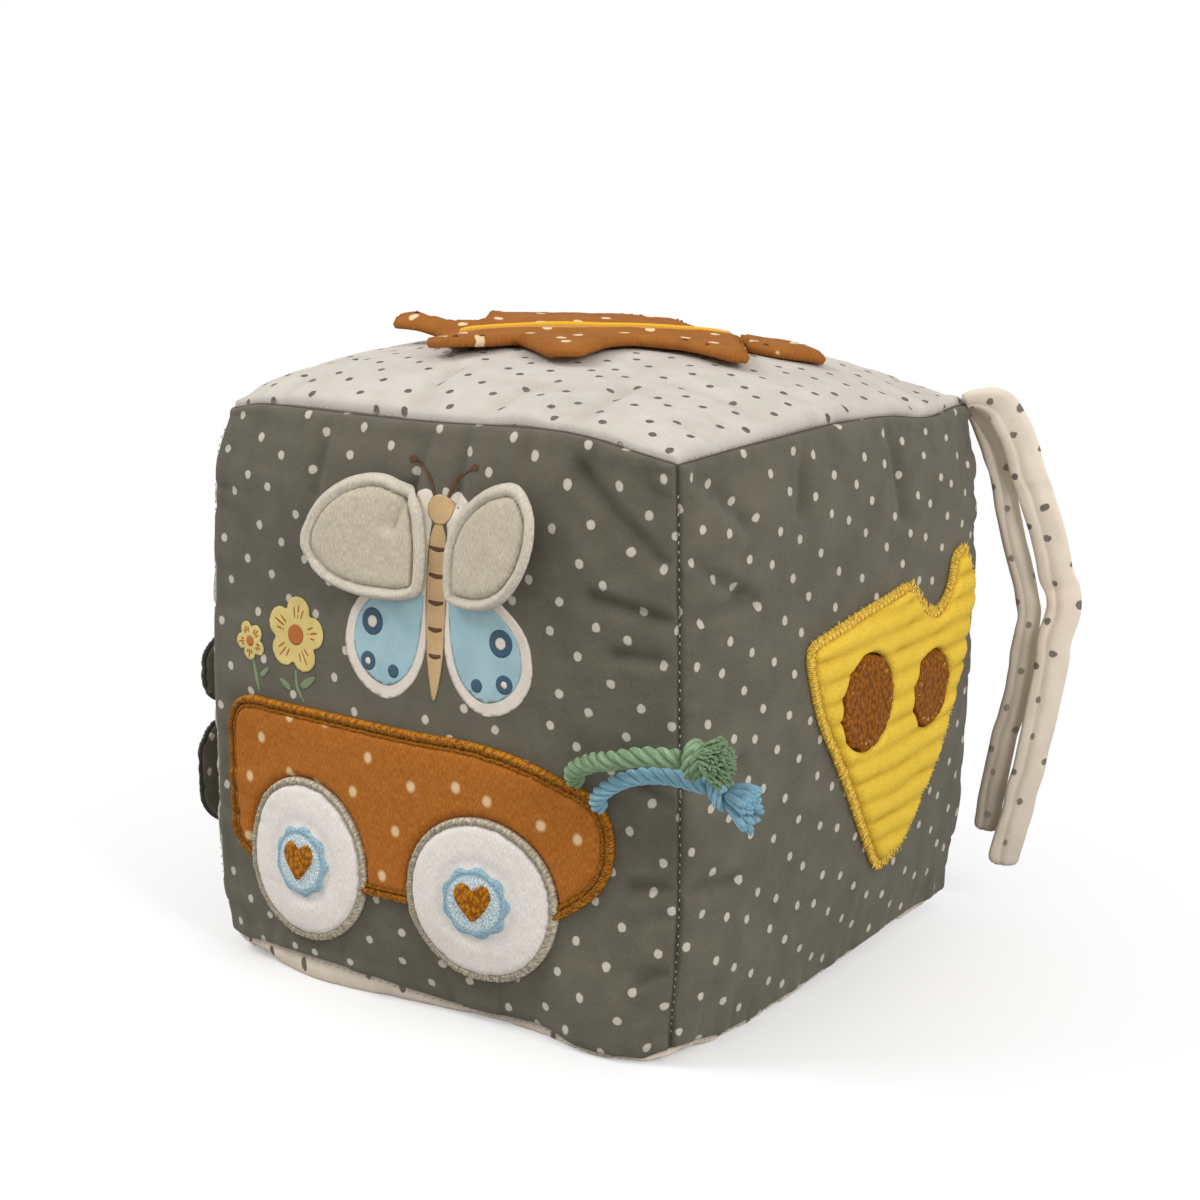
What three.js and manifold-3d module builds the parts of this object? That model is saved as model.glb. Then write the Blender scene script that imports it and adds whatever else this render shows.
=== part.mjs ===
import * as THREE from 'three';
import { mergeVertices } from 'three/addons/utils/BufferGeometryUtils.js';
import Module from 'manifold-3d';

// Stuffed fabric activity cube with a rattle, in millimetres, Z up.
// The origin is where the cube stands, below its middle. The wagon is on the front (-Y),
// the cheese on the right (+X), the leaf on top, the petals on the left (-X).

// Cube body: seam to seam, and how far stuffing pushes each face and seam out
const cubeWidth = 140;
const cubeDepth = 140;
const cubeHeight = 140;
const sideCrown = 8;
const topCrown = 13.8;
const bottomCrown = 8;
const seamBow = 1.2;
const crownRoundness = 0.6;
const seamLift = 4;
const clothThickness = 1;
const seamGap = 0.35;
const waddingGap = 0.7;
const layerGap = 0.35;
const panelCells = 10;
const sewnCell = 12;

// How the stuffing leans each corner away from a true cube
const cornerLean = [
  { at: [-1, -1, -1], by: [-1.3, -1.5, -0.3] },
  { at: [1, -1, -1], by: [2.3, 0, -3.8] },
  { at: [1, 1, -1], by: [-1.8, 0, 3] },
  { at: [-1, -1, 1], by: [-0.5, 0.3, 2.6] },
  { at: [1, -1, 1], by: [1, 1, 1.9] },
  { at: [1, 1, 1], by: [0.9, -0.5, -3.2] },
];

// Rattle: a plastic case in the stuffing, with loose beads
const rattleDiameter = 44;
const rattleHeight = 26;
const rattleWall = 1.6;
const rattleShoulder = 4;
const rattleEdge = 1.2;
const rattleClearance = 0.5;
const beadDiameter = 6;
const beadCount = 5;
const beadRing = 11;

// Wagon on the front face; places are X and height above the floor
const wagonCentre = [-3, 50];
const wagonSize = [122, 43];
const wagonCorners = { topLeft: 12, topRight: 24, bottomRight: 22, bottomLeft: 13 };
const plushThickness = 1.2;
const satinHeight = 1.8;
const wagonSatin = 3.4;
const wheelDiameter = 42;
const wheelPlush = 1.6;
const wheelSatin = 2.2;
const wheelCentres = { left: [-34.3, 33.3], right: [20.3, 33.1] };
const hubDiameter = 18.6;
const hubScallops = 9;
const scallopDepth = 0.9;
const hubThickness = 0.6;
const heartSize = [10, 10.2];
const heartThickness = 1;

// Plush wings that fold away from the front face
const wingThickness = 1.6;
const wingLining = 1;
const wingHem = 2.6;
const wingHingeLift = 0.5;
const wingStandOff = { left: 5, right: 7 };
const wingOutlines = {
  left: [[2, 106], [3.5, 113], [3, 121], [0.5, 129], [-8, 134], [-19, 132.5],
    [-28, 125.5], [-31.5, 115.5], [-26, 107.5], [-14, 104]],
  right: [[11, 106], [20, 105], [31, 109], [38, 118.5], [39, 130], [33, 136.5],
    [24, 135], [14.5, 128.5], [10.5, 121], [9.8, 113]],
};

// Cheese wedge on the right face; places are Y and height
const cheeseOutline = [
  [-26.5, 94, 6], [24, 101, 4], [31, 93.5, 3], [39, 89.5, 7], [46.5, 94, 5], [48.5, 102.5, 4],
  [56, 105, 4], [65.5, 89.5, 7], [57.5, 72.5, 14], [45.5, 51.5, 12], [25.5, 30, 6], [13, 26.5, 4],
  [2.5, 39, 8], [-12, 62, 8], [-22.5, 76, 8],
];
const cheesePlush = 1.4;
const cheeseSatin = 2.6;
const cheeseHoles = {
  near: { centre: [0.8, 74.5], size: [23, 23] },
  far: { centre: [35.5, 70.3], size: [19.5, 18.5] },
};
const holeThickness = 1.7;

// Leaf on the top face, laid along a line from the front left corner to the back right one.
// Points are along the vein and across it, with a rounding radius.
const leafTurn = 40.5;
const leafCentre = [0, 0];
const leafCloth = 0.9;
const leafFilm = 0.3;
const filmInset = 1.5;
const spineWidth = 7;
const spineEnds = [-40, 36];
const flapGap = 0.35;
const veinThickness = 0.7;
const veinEnds = [-37, 33];
const veinTaper = 24;
const veinMargin = 0.3;
const veinPoint = 0.8;
const nearLobes = [
  [-41, -9, 2], [-46, -15, 2], [-44, -23, 2], [-30, -17, 4], [-23, -12, 2],
  [-17, -34, 2], [-8, -35, 2], [1, -18, 4], [7, -12, 3], [19, -20, 4], [28, -33, 2], [34, -31, 2],
];
const farLobes = [
  [35, 14, 2], [27, 14, 2], [22, 29, 2], [4, 31, 2], [1, 27, 1], [-5, 31, 2], [-27, 31, 2],
  [-30, 15, 3], [-38, 14, 3], [-51, 23, 2], [-54, 17, 2], [-42, 8, 3],
];
const tipLobe = [[37, -9, 1], [50, -11, 4], [57, -7, 2], [56, 0, 2], [46, 11, 3], [38, 14, 1]];
const leafRise = { near: 3, far: 8, tip: 0.6 };
const leafHover = 1.2;
const leafRiseStart = -24;
const leafRiseReach = 22;

// Petals on the left face; places are Y and height
const petalHinge = -18;
const petalVelour = 1.6;
const petalLining = 0.9;
const petalStandOff = { upper: 7, lower: 9 };
const petalOutlines = {
  upper: [[-18.5, 75], [-32, 80.5], [-50, 82], [-63, 77], [-65.5, 69], [-60, 62.5], [-40, 61], [-18.5, 65]],
  lower: [[-18.5, 53], [-36, 57.6], [-55, 57.8], [-65, 52], [-66.5, 43], [-63, 32], [-52, 26.5],
    [-34, 31], [-18.5, 42]],
};

// Twisted cords sewn under the wagon's edge, each with a knot and a tassel.
// Their routes are distances from the wagon's right end and from the front seam, and height.
const greenCordDiameter = 4.8;
const blueCordDiameter = 4.2;
const greenRoute = [[-9.4, -9.1, 70.4], [-2, -13, 74.8], [6, -16, 77.5], [15.5, -16.4, 80.2], [25.6, -15.2, 81]];
const blueRoute = [[-3.4, -7.9, 65], [2, -9.6, 69.4], [8.5, -10.2, 72.6], [17.5, -10, 74.4], [28.2, -9.4, 73.7]];
const cordSides = 8;
const cordStep = 2;
const knotSwell = 1.9;
const tasselSpread = { green: 6.2, blue: 5.6 };
const tasselLength = { green: 9.5, blue: 10.5 };
const tasselDirection = { green: [0.9, -0.3, -0.12], blue: [0.95, -0.12, -0.3] };
const tasselFlatness = 0.72;

// Folded cloth ties sewn into the back right top corner.
// Routes are distance out from the corner along its diagonal, and height.
const tieWidth = { outer: 9.4, inner: 7 };
const tieThickness = 3.4;
const tieOffset = { outer: 2.6, inner: -2.6 };
// Share of its width that a tie has where it leaves the seam, and where it is full
const tieRoot = { share: 0.45, length: 12 };
const tieRoutes = {
  outer: [[-0.2, 140.4], [7.2, 138.6], [11.2, 132.2], [14.3, 124.3], [17.4, 116.1], [21, 106.5],
    [23.8, 95.3], [26.6, 84], [24.8, 76], [22.2, 59.8], [19.4, 43.3], [15.6, 26.8], [12.2, 12]],
  inner: [[0.7, 136.6], [4.6, 132], [8, 124.6], [10.8, 115.8], [12.6, 106], [15.6, 95], [17.6, 86],
    [18.6, 77.5], [17.6, 69], [13.8, 49.3], [10.4, 32.6], [8.2, 20.5]],
};
const tieSteps = 16;
const tieSides = 8;

// Colours
const greyCotton = 0x6e6b60;
const creamCotton = 0xded6ca;
const rustPlush = 0xa8642b;
const goldSatin = 0xb3731f;
const whitePlush = 0xe6e2de;
const beigeSatin = 0xb3aa98;
const creamPlush = 0xd9d4ca;
const yellowPlush = 0xe2c14f;
const yellowSatin = 0xd3a12a;
const brownSatin = 0x8b5420;
const blueSatin = 0xa3bfc8;
const rustCotton = 0xb06f3a;
const yellowRibbon = 0xd69c16;
const greenYarn = 0x88ac84;
const blueYarn = 0x93bdd2;
const velourGrey = 0x5a5750;
const wadding = 0xf2f0ea;
const clearFilm = 0xe8e8e8;
const caseWhite = 0xf0f0ee;
const beadColour = 0xc9503c;

const halfSize = [cubeWidth / 2, cubeDepth / 2, cubeHeight / 2];
const bodyMiddle = seamLift + cubeHeight / 2;
const crownOf = [sideCrown, sideCrown, topCrown];

const wasm = await Module();
wasm.setup();

const radians = (degrees) => (degrees * Math.PI) / 180;
const crownProfile = (t) => 1 - crownRoundness * t * t - (1 - crownRoundness) * Math.abs(t) ** 8;

// Maps a point of the cube from -1 to 1 to its place in the stuffed body
function pillow(q) {
  const place = [0, 0, 0];
  for (let axis = 0; axis < 3; axis += 1) {
    const [b, c] = [q[(axis + 1) % 3], q[(axis + 2) % 3]];
    const crown = axis === 2 && q[2] < 0 ? bottomCrown : crownOf[axis];
    const edge = Math.abs(b) ** 6 * (1 - c * c) + Math.abs(c) ** 6 * (1 - b * b);
    place[axis] = q[axis] * (halfSize[axis] + crown * crownProfile(b) * crownProfile(c) + seamBow * edge);
  }
  for (const { at, by } of cornerLean) {
    const share = at.reduce((product, sign, axis) => product * (1 + sign * q[axis]) / 2, 1);
    by.forEach((shift, axis) => { place[axis] += share * shift; });
  }
  place[2] += bodyMiddle;
  if (q[2] < 0) {
    place[2] = Math.max(place[2], (1 - Math.abs(q[2])) * halfSize[2]);
  }
  return place;
}

// Each face: the axis it looks along, its sign, and the two axes that places on it use
const faces = {
  front: { normal: 1, sign: -1, across: 0, up: 2 },
  back: { normal: 1, sign: 1, across: 0, up: 2 },
  right: { normal: 0, sign: 1, across: 1, up: 2 },
  left: { normal: 0, sign: -1, across: 1, up: 2 },
  top: { normal: 2, sign: 1, across: 0, up: 1 },
  bottom: { normal: 2, sign: -1, across: 0, up: 1 },
};

// The point over a place on a face, so many millimetres outside the cloth
function overFace(face, across, up, level) {
  const q = [0, 0, 0];
  q[face.normal] = face.sign * (1 + level / halfSize[face.normal]);
  let place = pillow(q);
  for (let turn = 0; turn < 12; turn += 1) {
    q[face.across] += (across - place[face.across]) / halfSize[face.across];
    q[face.up] += (up - place[face.up]) / halfSize[face.up];
    place = pillow(q);
  }
  return place;
}

function geometryOf(points, triangles) {
  const geometry = new THREE.BufferGeometry();
  geometry.setAttribute('position', new THREE.Float32BufferAttribute(points.flat(), 3));
  geometry.setIndex(triangles.flat());
  return geometry;
}

function signedVolume(geometry) {
  const place = geometry.getAttribute('position');
  const index = geometry.getIndex();
  const [a, b, c] = [new THREE.Vector3(), new THREE.Vector3(), new THREE.Vector3()];
  let sum = 0;
  for (let i = 0; i < index.count; i += 3) {
    a.fromBufferAttribute(place, index.getX(i));
    b.fromBufferAttribute(place, index.getX(i + 1));
    c.fromBufferAttribute(place, index.getX(i + 2));
    sum += a.dot(b.cross(c));
  }
  return sum;
}

// Turns every triangle over where a closed surface came out facing inwards
function facingOut(geometry) {
  if (signedVolume(geometry) < 0) {
    const index = geometry.getIndex();
    for (let i = 0; i < index.count; i += 3) {
      const kept = index.getX(i + 1);
      index.setX(i + 1, index.getX(i + 2));
      index.setX(i + 2, kept);
    }
  }
  return geometry;
}

// A closed sheet between two surfaces that share one grid of columns and rows
function sheet(columns, rows, outer, inner) {
  const points = [];
  for (const side of [outer, inner]) {
    for (const row of rows) {
      for (const column of columns) {
        points.push(side(column, row));
      }
    }
  }
  const [wide, tall] = [columns.length, rows.length];
  const layer = wide * tall;
  const triangles = [];
  const quad = (a, b, c, d) => triangles.push([a, b, c], [a, c, d]);
  for (let j = 0; j < tall - 1; j += 1) {
    for (let i = 0; i < wide - 1; i += 1) {
      const k = j * wide + i;
      quad(k, k + 1, k + wide + 1, k + wide);
      quad(layer + k, layer + k + wide, layer + k + wide + 1, layer + k + 1);
    }
  }
  const rim = [];
  for (let i = 0; i < wide - 1; i += 1) rim.push(i);
  for (let j = 0; j < tall - 1; j += 1) rim.push(j * wide + wide - 1);
  for (let i = wide - 1; i > 0; i -= 1) rim.push((tall - 1) * wide + i);
  for (let j = tall - 1; j > 0; j -= 1) rim.push(j * wide);
  rim.forEach((k, i) => {
    const next = rim[(i + 1) % rim.length];
    quad(next, k, layer + k, layer + next);
  });
  return facingOut(geometryOf(points, triangles));
}

function solidOf(geometry) {
  const bare = geometry.clone();
  bare.deleteAttribute('normal');
  bare.deleteAttribute('uv');
  const merged = mergeVertices(bare, 1e-4);
  return new wasm.Manifold(new wasm.Mesh({
    numProp: 3,
    vertProperties: new Float32Array(merged.getAttribute('position').array),
    triVerts: new Uint32Array(merged.getIndex().array),
  }));
}

function geometryFrom(solid) {
  const mesh = solid.getMesh();
  const geometry = new THREE.BufferGeometry();
  geometry.setAttribute('position', new THREE.BufferAttribute(mesh.vertProperties, 3));
  geometry.setIndex(new THREE.BufferAttribute(mesh.triVerts, 1));
  return geometry;
}

// Grid lines from -1 to 1 that crowd towards the seams, where the cloth curves most
const seamLines = Array.from({ length: panelCells + 1 }, (_, i) => Math.sin(Math.PI * (i / panelCells - 0.5)));

function facePoint(face, column, row, depth) {
  const q = [0, 0, 0];
  q[face.normal] = face.sign * depth;
  q[face.across] = column;
  q[face.up] = row;
  return pillow(q);
}

// One cloth panel of the cube, mitred to its neighbours along the seams
function panel(face) {
  const outerEdge = 1 - seamGap / cubeWidth;
  const innerDepth = 1 - clothThickness / halfSize[face.normal];
  const innerEdge = innerDepth - seamGap / cubeWidth;
  return sheet(
    seamLines,
    seamLines,
    (column, row) => facePoint(face, column * outerEdge, row * outerEdge, 1),
    (column, row) => facePoint(face, column * innerEdge, row * innerEdge, innerDepth),
  );
}

// The whole stuffed body, so many millimetres inside the cloth's outer side
function stuffedBody(inset) {
  const scale = 1 - (2 * inset) / cubeWidth;
  const points = [];
  const triangles = [];
  for (const face of Object.values(faces)) {
    const first = points.length;
    const wide = seamLines.length;
    for (const row of seamLines) {
      for (const column of seamLines) {
        points.push(facePoint(face, column * scale, row * scale, scale));
      }
    }
    const [u, v] = [new THREE.Vector3(), new THREE.Vector3()];
    u.setComponent(face.across, 1);
    v.setComponent(face.up, 1);
    const outwards = u.cross(v).getComponent(face.normal) * face.sign > 0;
    for (let j = 0; j < wide - 1; j += 1) {
      for (let i = 0; i < wide - 1; i += 1) {
        const k = first + j * wide + i;
        const [a, b, c, d] = outwards ? [k, k + 1, k + wide + 1, k + wide] : [k, k + wide, k + wide + 1, k + 1];
        triangles.push([a, b, c], [a, c, d]);
      }
    }
  }
  return geometryOf(points, triangles);
}

const vectors = (points) => points.map(([x, y]) => new THREE.Vector2(x, y));

// A closed outline of straight sides with rounded corners, from [x, y, radius]
function roundedOutline(corners, cuts = 4) {
  const outline = [];
  corners.forEach(([x, y, radius], i) => {
    const here = new THREE.Vector2(x, y);
    const [px, py] = corners[(i + corners.length - 1) % corners.length];
    const [nx, ny] = corners[(i + 1) % corners.length];
    const back = new THREE.Vector2(px, py).sub(here);
    const ahead = new THREE.Vector2(nx, ny).sub(here);
    const reach = Math.min(radius, back.length() * 0.45, ahead.length() * 0.45);
    const start = here.clone().addScaledVector(back.normalize(), reach);
    const end = here.clone().addScaledVector(ahead.normalize(), reach);
    outline.push(...new THREE.QuadraticBezierCurve(start, here, end).getPoints(cuts));
  });
  return outline;
}

// Moves the sides of a [x, y, radius] polygon inwards and meets them again at its corners
function insetCorners(corners, distance) {
  const sense = THREE.ShapeUtils.isClockWise(vectors(corners)) ? -1 : 1;
  const inwards = (from, to) => {
    const along = new THREE.Vector2(to[0] - from[0], to[1] - from[1]).normalize();
    return new THREE.Vector2(-sense * along.y, sense * along.x);
  };
  return corners.map((corner, i) => {
    const before = inwards(corners[(i + corners.length - 1) % corners.length], corner);
    const after = inwards(corner, corners[(i + 1) % corners.length]);
    const reach = distance / (1 + before.dot(after));
    return [corner[0] + reach * (before.x + after.x), corner[1] + reach * (before.y + after.y), corner[2]];
  });
}

// A closed smooth outline through points
function smoothOutline(points, count = 32) {
  const curve = new THREE.CatmullRomCurve3(points.map(([x, y]) => new THREE.Vector3(x, y, 0)), true);
  return curve.getSpacedPoints(count).slice(0, -1).map((p) => new THREE.Vector2(p.x, p.y));
}

function roundOutline([x, y], [width, height], count = 28, ripple = () => 1) {
  return Array.from({ length: count }, (_, i) => {
    const angle = (2 * Math.PI * i) / count;
    const reach = ripple(angle);
    return new THREE.Vector2(
      x + (width / 2) * reach * Math.cos(angle),
      y + (height / 2) * reach * Math.sin(angle),
    );
  });
}

// Least distance from a point to the sides of an outline
function distanceTo(outline, point) {
  const nearest = new THREE.Vector3();
  const spot = new THREE.Vector3(point.x, point.y, 0);
  return Math.min(...outline.map((start, i) => {
    const end = outline[(i + 1) % outline.length];
    const side = new THREE.Line3(new THREE.Vector3(start.x, start.y, 0), new THREE.Vector3(end.x, end.y, 0));
    return side.closestPointToPoint(spot, true, nearest).distanceTo(spot);
  }));
}

// Moves an outline inwards by a distance, or outwards where it is negative, and leaves out
// the points that a tight corner would fold over
function insetOutline(outline, distance) {
  const sense = THREE.ShapeUtils.isClockWise(outline) ? -1 : 1;
  const moved = outline.map((point, i) => {
    const before = outline[(i + outline.length - 1) % outline.length];
    const after = outline[(i + 1) % outline.length];
    const along = after.clone().sub(before).normalize();
    return new THREE.Vector2(point.x - sense * along.y * distance, point.y + sense * along.x * distance);
  });
  const kept = moved.filter((point) => distanceTo(outline, point) > 0.97 * Math.abs(distance));
  return kept.filter((point, i) => point.distanceTo(kept[(i + 1) % kept.length]) > 0.15);
}

// A straight prism through the cube, along a face's normal, with an outline for its section
function prism(face, outline, holes = []) {
  const turned = THREE.ShapeUtils.isClockWise(outline) ? outline.slice().reverse() : outline;
  const shape = new THREE.Shape(turned);
  shape.holes = holes.map((hole) => new THREE.Path(hole));
  const reach = cubeWidth + cubeHeight;
  const geometry = new THREE.ExtrudeGeometry(shape, { depth: 2 * reach, bevelEnabled: false });
  geometry.translate(0, 0, -reach);
  const [x, y] = [new THREE.Vector3(), new THREE.Vector3()];
  x.setComponent(face.across, 1);
  y.setComponent(face.up, 1);
  geometry.applyMatrix4(new THREE.Matrix4().makeBasis(x, y, x.clone().cross(y)));
  return solidOf(geometry);
}

const levelOf = (level) => (typeof level === 'function' ? level : () => level);

function gridLines(from, to) {
  const count = Math.ceil((to - from) / sewnCell);
  return Array.from({ length: count + 1 }, (_, i) => from + ((to - from) * i) / count);
}

// A piece of cloth sewn on a face: an outline, and the levels of its two sides over the panel.
// Layers that lie on each other share the grid of one outline, so that their facets match.
function sewn(face, outline, holes, low, high, around = outline) {
  const box = new THREE.Box2().setFromPoints(around);
  const margin = 1;
  const columns = gridLines(box.min.x - margin, box.max.x + margin);
  const rows = gridLines(box.min.y - margin, box.max.y + margin);
  const [lowLevel, highLevel] = [levelOf(low), levelOf(high)];
  const layer = sheet(
    columns,
    rows,
    (across, up) => overFace(face, across, up, highLevel(across, up)),
    (across, up) => overFace(face, across, up, lowLevel(across, up)),
  );
  return geometryFrom(solidOf(layer).intersect(prism(face, outline, holes)));
}

function cutBy(geometry, ...cutters) {
  return geometryFrom(cutters.reduce((solid, cutter) => solid.subtract(cutter), solidOf(geometry)));
}

const model = new THREE.Group();

function add(name, geometry, color, roughness = 0.95) {
  const material = new THREE.MeshStandardMaterial({ color, roughness, metalness: 0 });
  const mesh = new THREE.Mesh(geometry, material);
  mesh.name = name;
  model.add(mesh);
  return mesh;
}

// Cloth panels
add('panel_front', panel(faces.front), greyCotton);
add('panel_right', panel(faces.right), greyCotton);
add('panel_back', panel(faces.back), greyCotton);
add('panel_left', panel(faces.left), creamCotton);
add('panel_top', panel(faces.top), creamCotton);
add('panel_bottom', panel(faces.bottom), creamCotton);

// Rattle case in two cups, with beads that lie on its floor
const rattleMiddle = bodyMiddle;
const caseRadius = rattleDiameter / 2;
const caseHalf = rattleHeight / 2;
const cupGap = 0.15;

function cup(sign) {
  const profile = vectors([
    [0, caseHalf],
    [caseRadius - rattleShoulder, caseHalf],
    [caseRadius - rattleEdge, caseHalf - rattleEdge],
    [caseRadius, caseHalf - rattleShoulder],
    [caseRadius, cupGap],
    [caseRadius - rattleWall, cupGap],
    [caseRadius - rattleWall, caseHalf - rattleShoulder],
    [caseRadius - rattleShoulder, caseHalf - rattleWall],
    [0, caseHalf - rattleWall],
  ]);
  const geometry = new THREE.LatheGeometry(profile, 20);
  geometry.rotateX(sign > 0 ? Math.PI / 2 : -Math.PI / 2);
  geometry.translate(0, 0, rattleMiddle);
  return facingOut(mergeVertices(geometry.deleteAttribute('normal').deleteAttribute('uv'), 1e-4));
}

add('rattle_case_lower', cup(-1), caseWhite, 0.4);
add('rattle_case_upper', cup(1), caseWhite, 0.4);

const beadFloor = rattleMiddle - caseHalf + rattleWall;
for (let i = 0; i < beadCount; i += 1) {
  const angle = (2 * Math.PI * i) / (beadCount - 1);
  const ring = i === beadCount - 1 ? 0 : beadRing;
  const bead = add(`rattle_bead_${i + 1}`, new THREE.SphereGeometry(beadDiameter / 2, 8, 6), beadColour, 0.4);
  bead.position.set(ring * Math.cos(angle), ring * Math.sin(angle), beadFloor + beadDiameter / 2 + 0.1);
}

// Wadding in two halves round the rattle case
const waddingInset = clothThickness + waddingGap;
const pocket = new THREE.CylinderGeometry(
  caseRadius + rattleClearance,
  caseRadius + rattleClearance,
  rattleHeight + 2 * rattleClearance,
  24,
);
pocket.rotateX(Math.PI / 2);
pocket.translate(0, 0, rattleMiddle);
const pocketSolid = solidOf(pocket);

function waddingHalf(sign) {
  const far = 2 * cubeHeight;
  const block = new THREE.BoxGeometry(2 * cubeWidth, 2 * cubeDepth, far);
  block.translate(0, 0, rattleMiddle - sign * (far / 2 - seamGap / 2));
  return cutBy(stuffedBody(waddingInset), solidOf(block), pocketSolid);
}

add('wadding_lower', waddingHalf(-1), wadding);
add('wadding_upper', waddingHalf(1), wadding);

// Wagon
const { front, right, left, top } = faces;
const [wagonX, wagonZ] = wagonCentre;
const [halfLong, halfTall] = wagonSize.map((size) => size / 2);
const wagonOutline = roundedOutline([
  [wagonX - halfLong, wagonZ + halfTall, wagonCorners.topLeft],
  [wagonX - halfLong, wagonZ - halfTall, wagonCorners.bottomLeft],
  [wagonX + halfLong, wagonZ - halfTall, wagonCorners.bottomRight],
  [wagonX + halfLong, wagonZ + halfTall, wagonCorners.topRight],
], 5);
const wheelRoom = Object.values(wheelCentres).map((centre) => (
  prism(front, roundOutline(centre, [wheelDiameter + 2 * layerGap, wheelDiameter + 2 * layerGap], 28))
));
const plushOutline = insetOutline(wagonOutline, wagonSatin + layerGap);
const satinInner = insetOutline(wagonOutline, wagonSatin);
add('wagon_plush', cutBy(sewn(front, plushOutline, [], layerGap, layerGap + plushThickness), ...wheelRoom), rustPlush);

// The wheels part the satin edge into a long piece round the wagon and a short one between them
const satinRing = sewn(front, wagonOutline, [satinInner], layerGap, layerGap + satinHeight);
const satinPieces = solidOf(cutBy(satinRing, ...wheelRoom)).decompose();
satinPieces.sort((a, b) => b.volume() - a.volume());
add('wagon_satin_edge', geometryFrom(satinPieces[0]), goldSatin, 0.5);
add('wagon_satin_middle', geometryFrom(satinPieces[1]), goldSatin, 0.5);

// Right half of a heart one unit wide and tall, from its notch to its point
const heartHalf = [[0, 0.3], [0.12, 0.44], [0.27, 0.5], [0.42, 0.43], [0.5, 0.25], [0.44, 0.03], [0.24, -0.24], [0, -0.5]];

function heartOutline([x, y], [width, height]) {
  const mirrored = heartHalf.slice(1, -1).reverse().map(([across, up]) => [-across, up]);
  return [...heartHalf, ...mirrored].map(([across, up]) => new THREE.Vector2(x + width * across, y + height * up));
}

for (const [side, centre] of Object.entries(wheelCentres)) {
  const rimInner = wheelDiameter - 2 * wheelSatin;
  const discSize = rimInner - 2 * layerGap;
  const discTop = layerGap + wheelPlush;
  const hubLow = discTop + layerGap;
  const scallop = (angle) => 1 - (scallopDepth / hubDiameter) * (1 - Math.cos(hubScallops * angle));
  const heart = heartOutline(centre, heartSize);
  add(`wheel_${side}_plush`, sewn(front, roundOutline(centre, [discSize, discSize]), [], layerGap, discTop), whitePlush);
  add(`wheel_${side}_satin_rim`, sewn(
    front,
    roundOutline(centre, [wheelDiameter, wheelDiameter], 28),
    [roundOutline(centre, [rimInner, rimInner], 28)],
    layerGap,
    layerGap + satinHeight + 0.2,
  ), beigeSatin, 0.5);
  add(`wheel_${side}_hub`, sewn(
    front,
    roundOutline(centre, [hubDiameter, hubDiameter], 3 * hubScallops, scallop),
    [insetOutline(heart, -layerGap)],
    hubLow,
    hubLow + hubThickness,
  ), blueSatin, 0.5);
  add(`wheel_${side}_heart`, sewn(front, heart, [], hubLow, hubLow + heartThickness), goldSatin, 0.5);
}

// Wings: a plush back with a hem that stands round the lining
const wingHinges = {
  left: { from: [3.2, 106.5], to: [2.2, 122.5], away: -1, length: 34 },
  right: { from: [10, 106.5], to: [10.6, 121.5], away: 1, length: 28 },
};

function wingLevel(side) {
  const hinge = wingHinges[side];
  const middle = (hinge.from[0] + hinge.to[0]) / 2;
  return (across) => {
    const reach = Math.max(0, (hinge.away * (across - middle)) / hinge.length);
    return wingHingeLift + wingStandOff[side] * reach ** 1.4;
  };
}

for (const side of ['left', 'right']) {
  const outline = smoothOutline(wingOutlines[side], 28);
  const liningOutline = insetOutline(outline, wingHem);
  const level = wingLevel(side);
  add(`wing_${side}_plush`, sewn(front, outline, [], level, (a, u) => level(a, u) + wingThickness), creamPlush);
  add(`wing_${side}_lining`, sewn(
    front,
    liningOutline,
    [],
    (a, u) => level(a, u) + wingThickness + layerGap,
    (a, u) => level(a, u) + wingThickness + layerGap + wingLining,
    outline,
  ), creamPlush);
}

// Cheese wedge
const wedgeOutline = roundedOutline(cheeseOutline, 2);
const holeOutlines = Object.values(cheeseHoles).map(({ centre, size }) => (
  roundOutline(centre, size.map((span) => span + 2 * layerGap), 20)
));
add('cheese_plush', sewn(
  right,
  insetOutline(wedgeOutline, cheeseSatin + layerGap),
  holeOutlines,
  layerGap,
  layerGap + cheesePlush,
), yellowPlush);
add('cheese_satin_edge', sewn(
  right,
  wedgeOutline,
  [insetOutline(wedgeOutline, cheeseSatin)],
  layerGap,
  layerGap + satinHeight,
), yellowSatin, 0.5);
for (const [side, { centre, size }] of Object.entries(cheeseHoles)) {
  add(`cheese_hole_${side}`, sewn(right, roundOutline(centre, size, 20), [], layerGap, layerGap + holeThickness), brownSatin, 0.5);
}

// Leaf: a sewn-down spine with a ribbon, and two loose halves
const [leafCos, leafSin] = [Math.cos(radians(leafTurn)), Math.sin(radians(leafTurn))];

function ontoTop(points) {
  return points.map(({ x, y }) => new THREE.Vector2(
    leafCentre[0] + x * leafCos - y * leafSin,
    leafCentre[1] + x * leafSin + y * leafCos,
  ));
}

function alongLeaf(x, y) {
  const [dx, dy] = [x - leafCentre[0], y - leafCentre[1]];
  return [dx * leafCos + dy * leafSin, dy * leafCos - dx * leafSin];
}

// How far a leaf half hovers over the panel: more towards its lobes and its left end
function leafLevel(rise) {
  return (x, y) => {
    const [along, across] = alongLeaf(x, y);
    const outwards = Math.max(0, Math.abs(across) - spineWidth / 2) / 25;
    const leftwards = Math.min(1, Math.max(0, (leafRiseStart - along) / leafRiseReach));
    return layerGap + outwards * (leafHover + rise * leftwards);
  };
}

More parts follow.
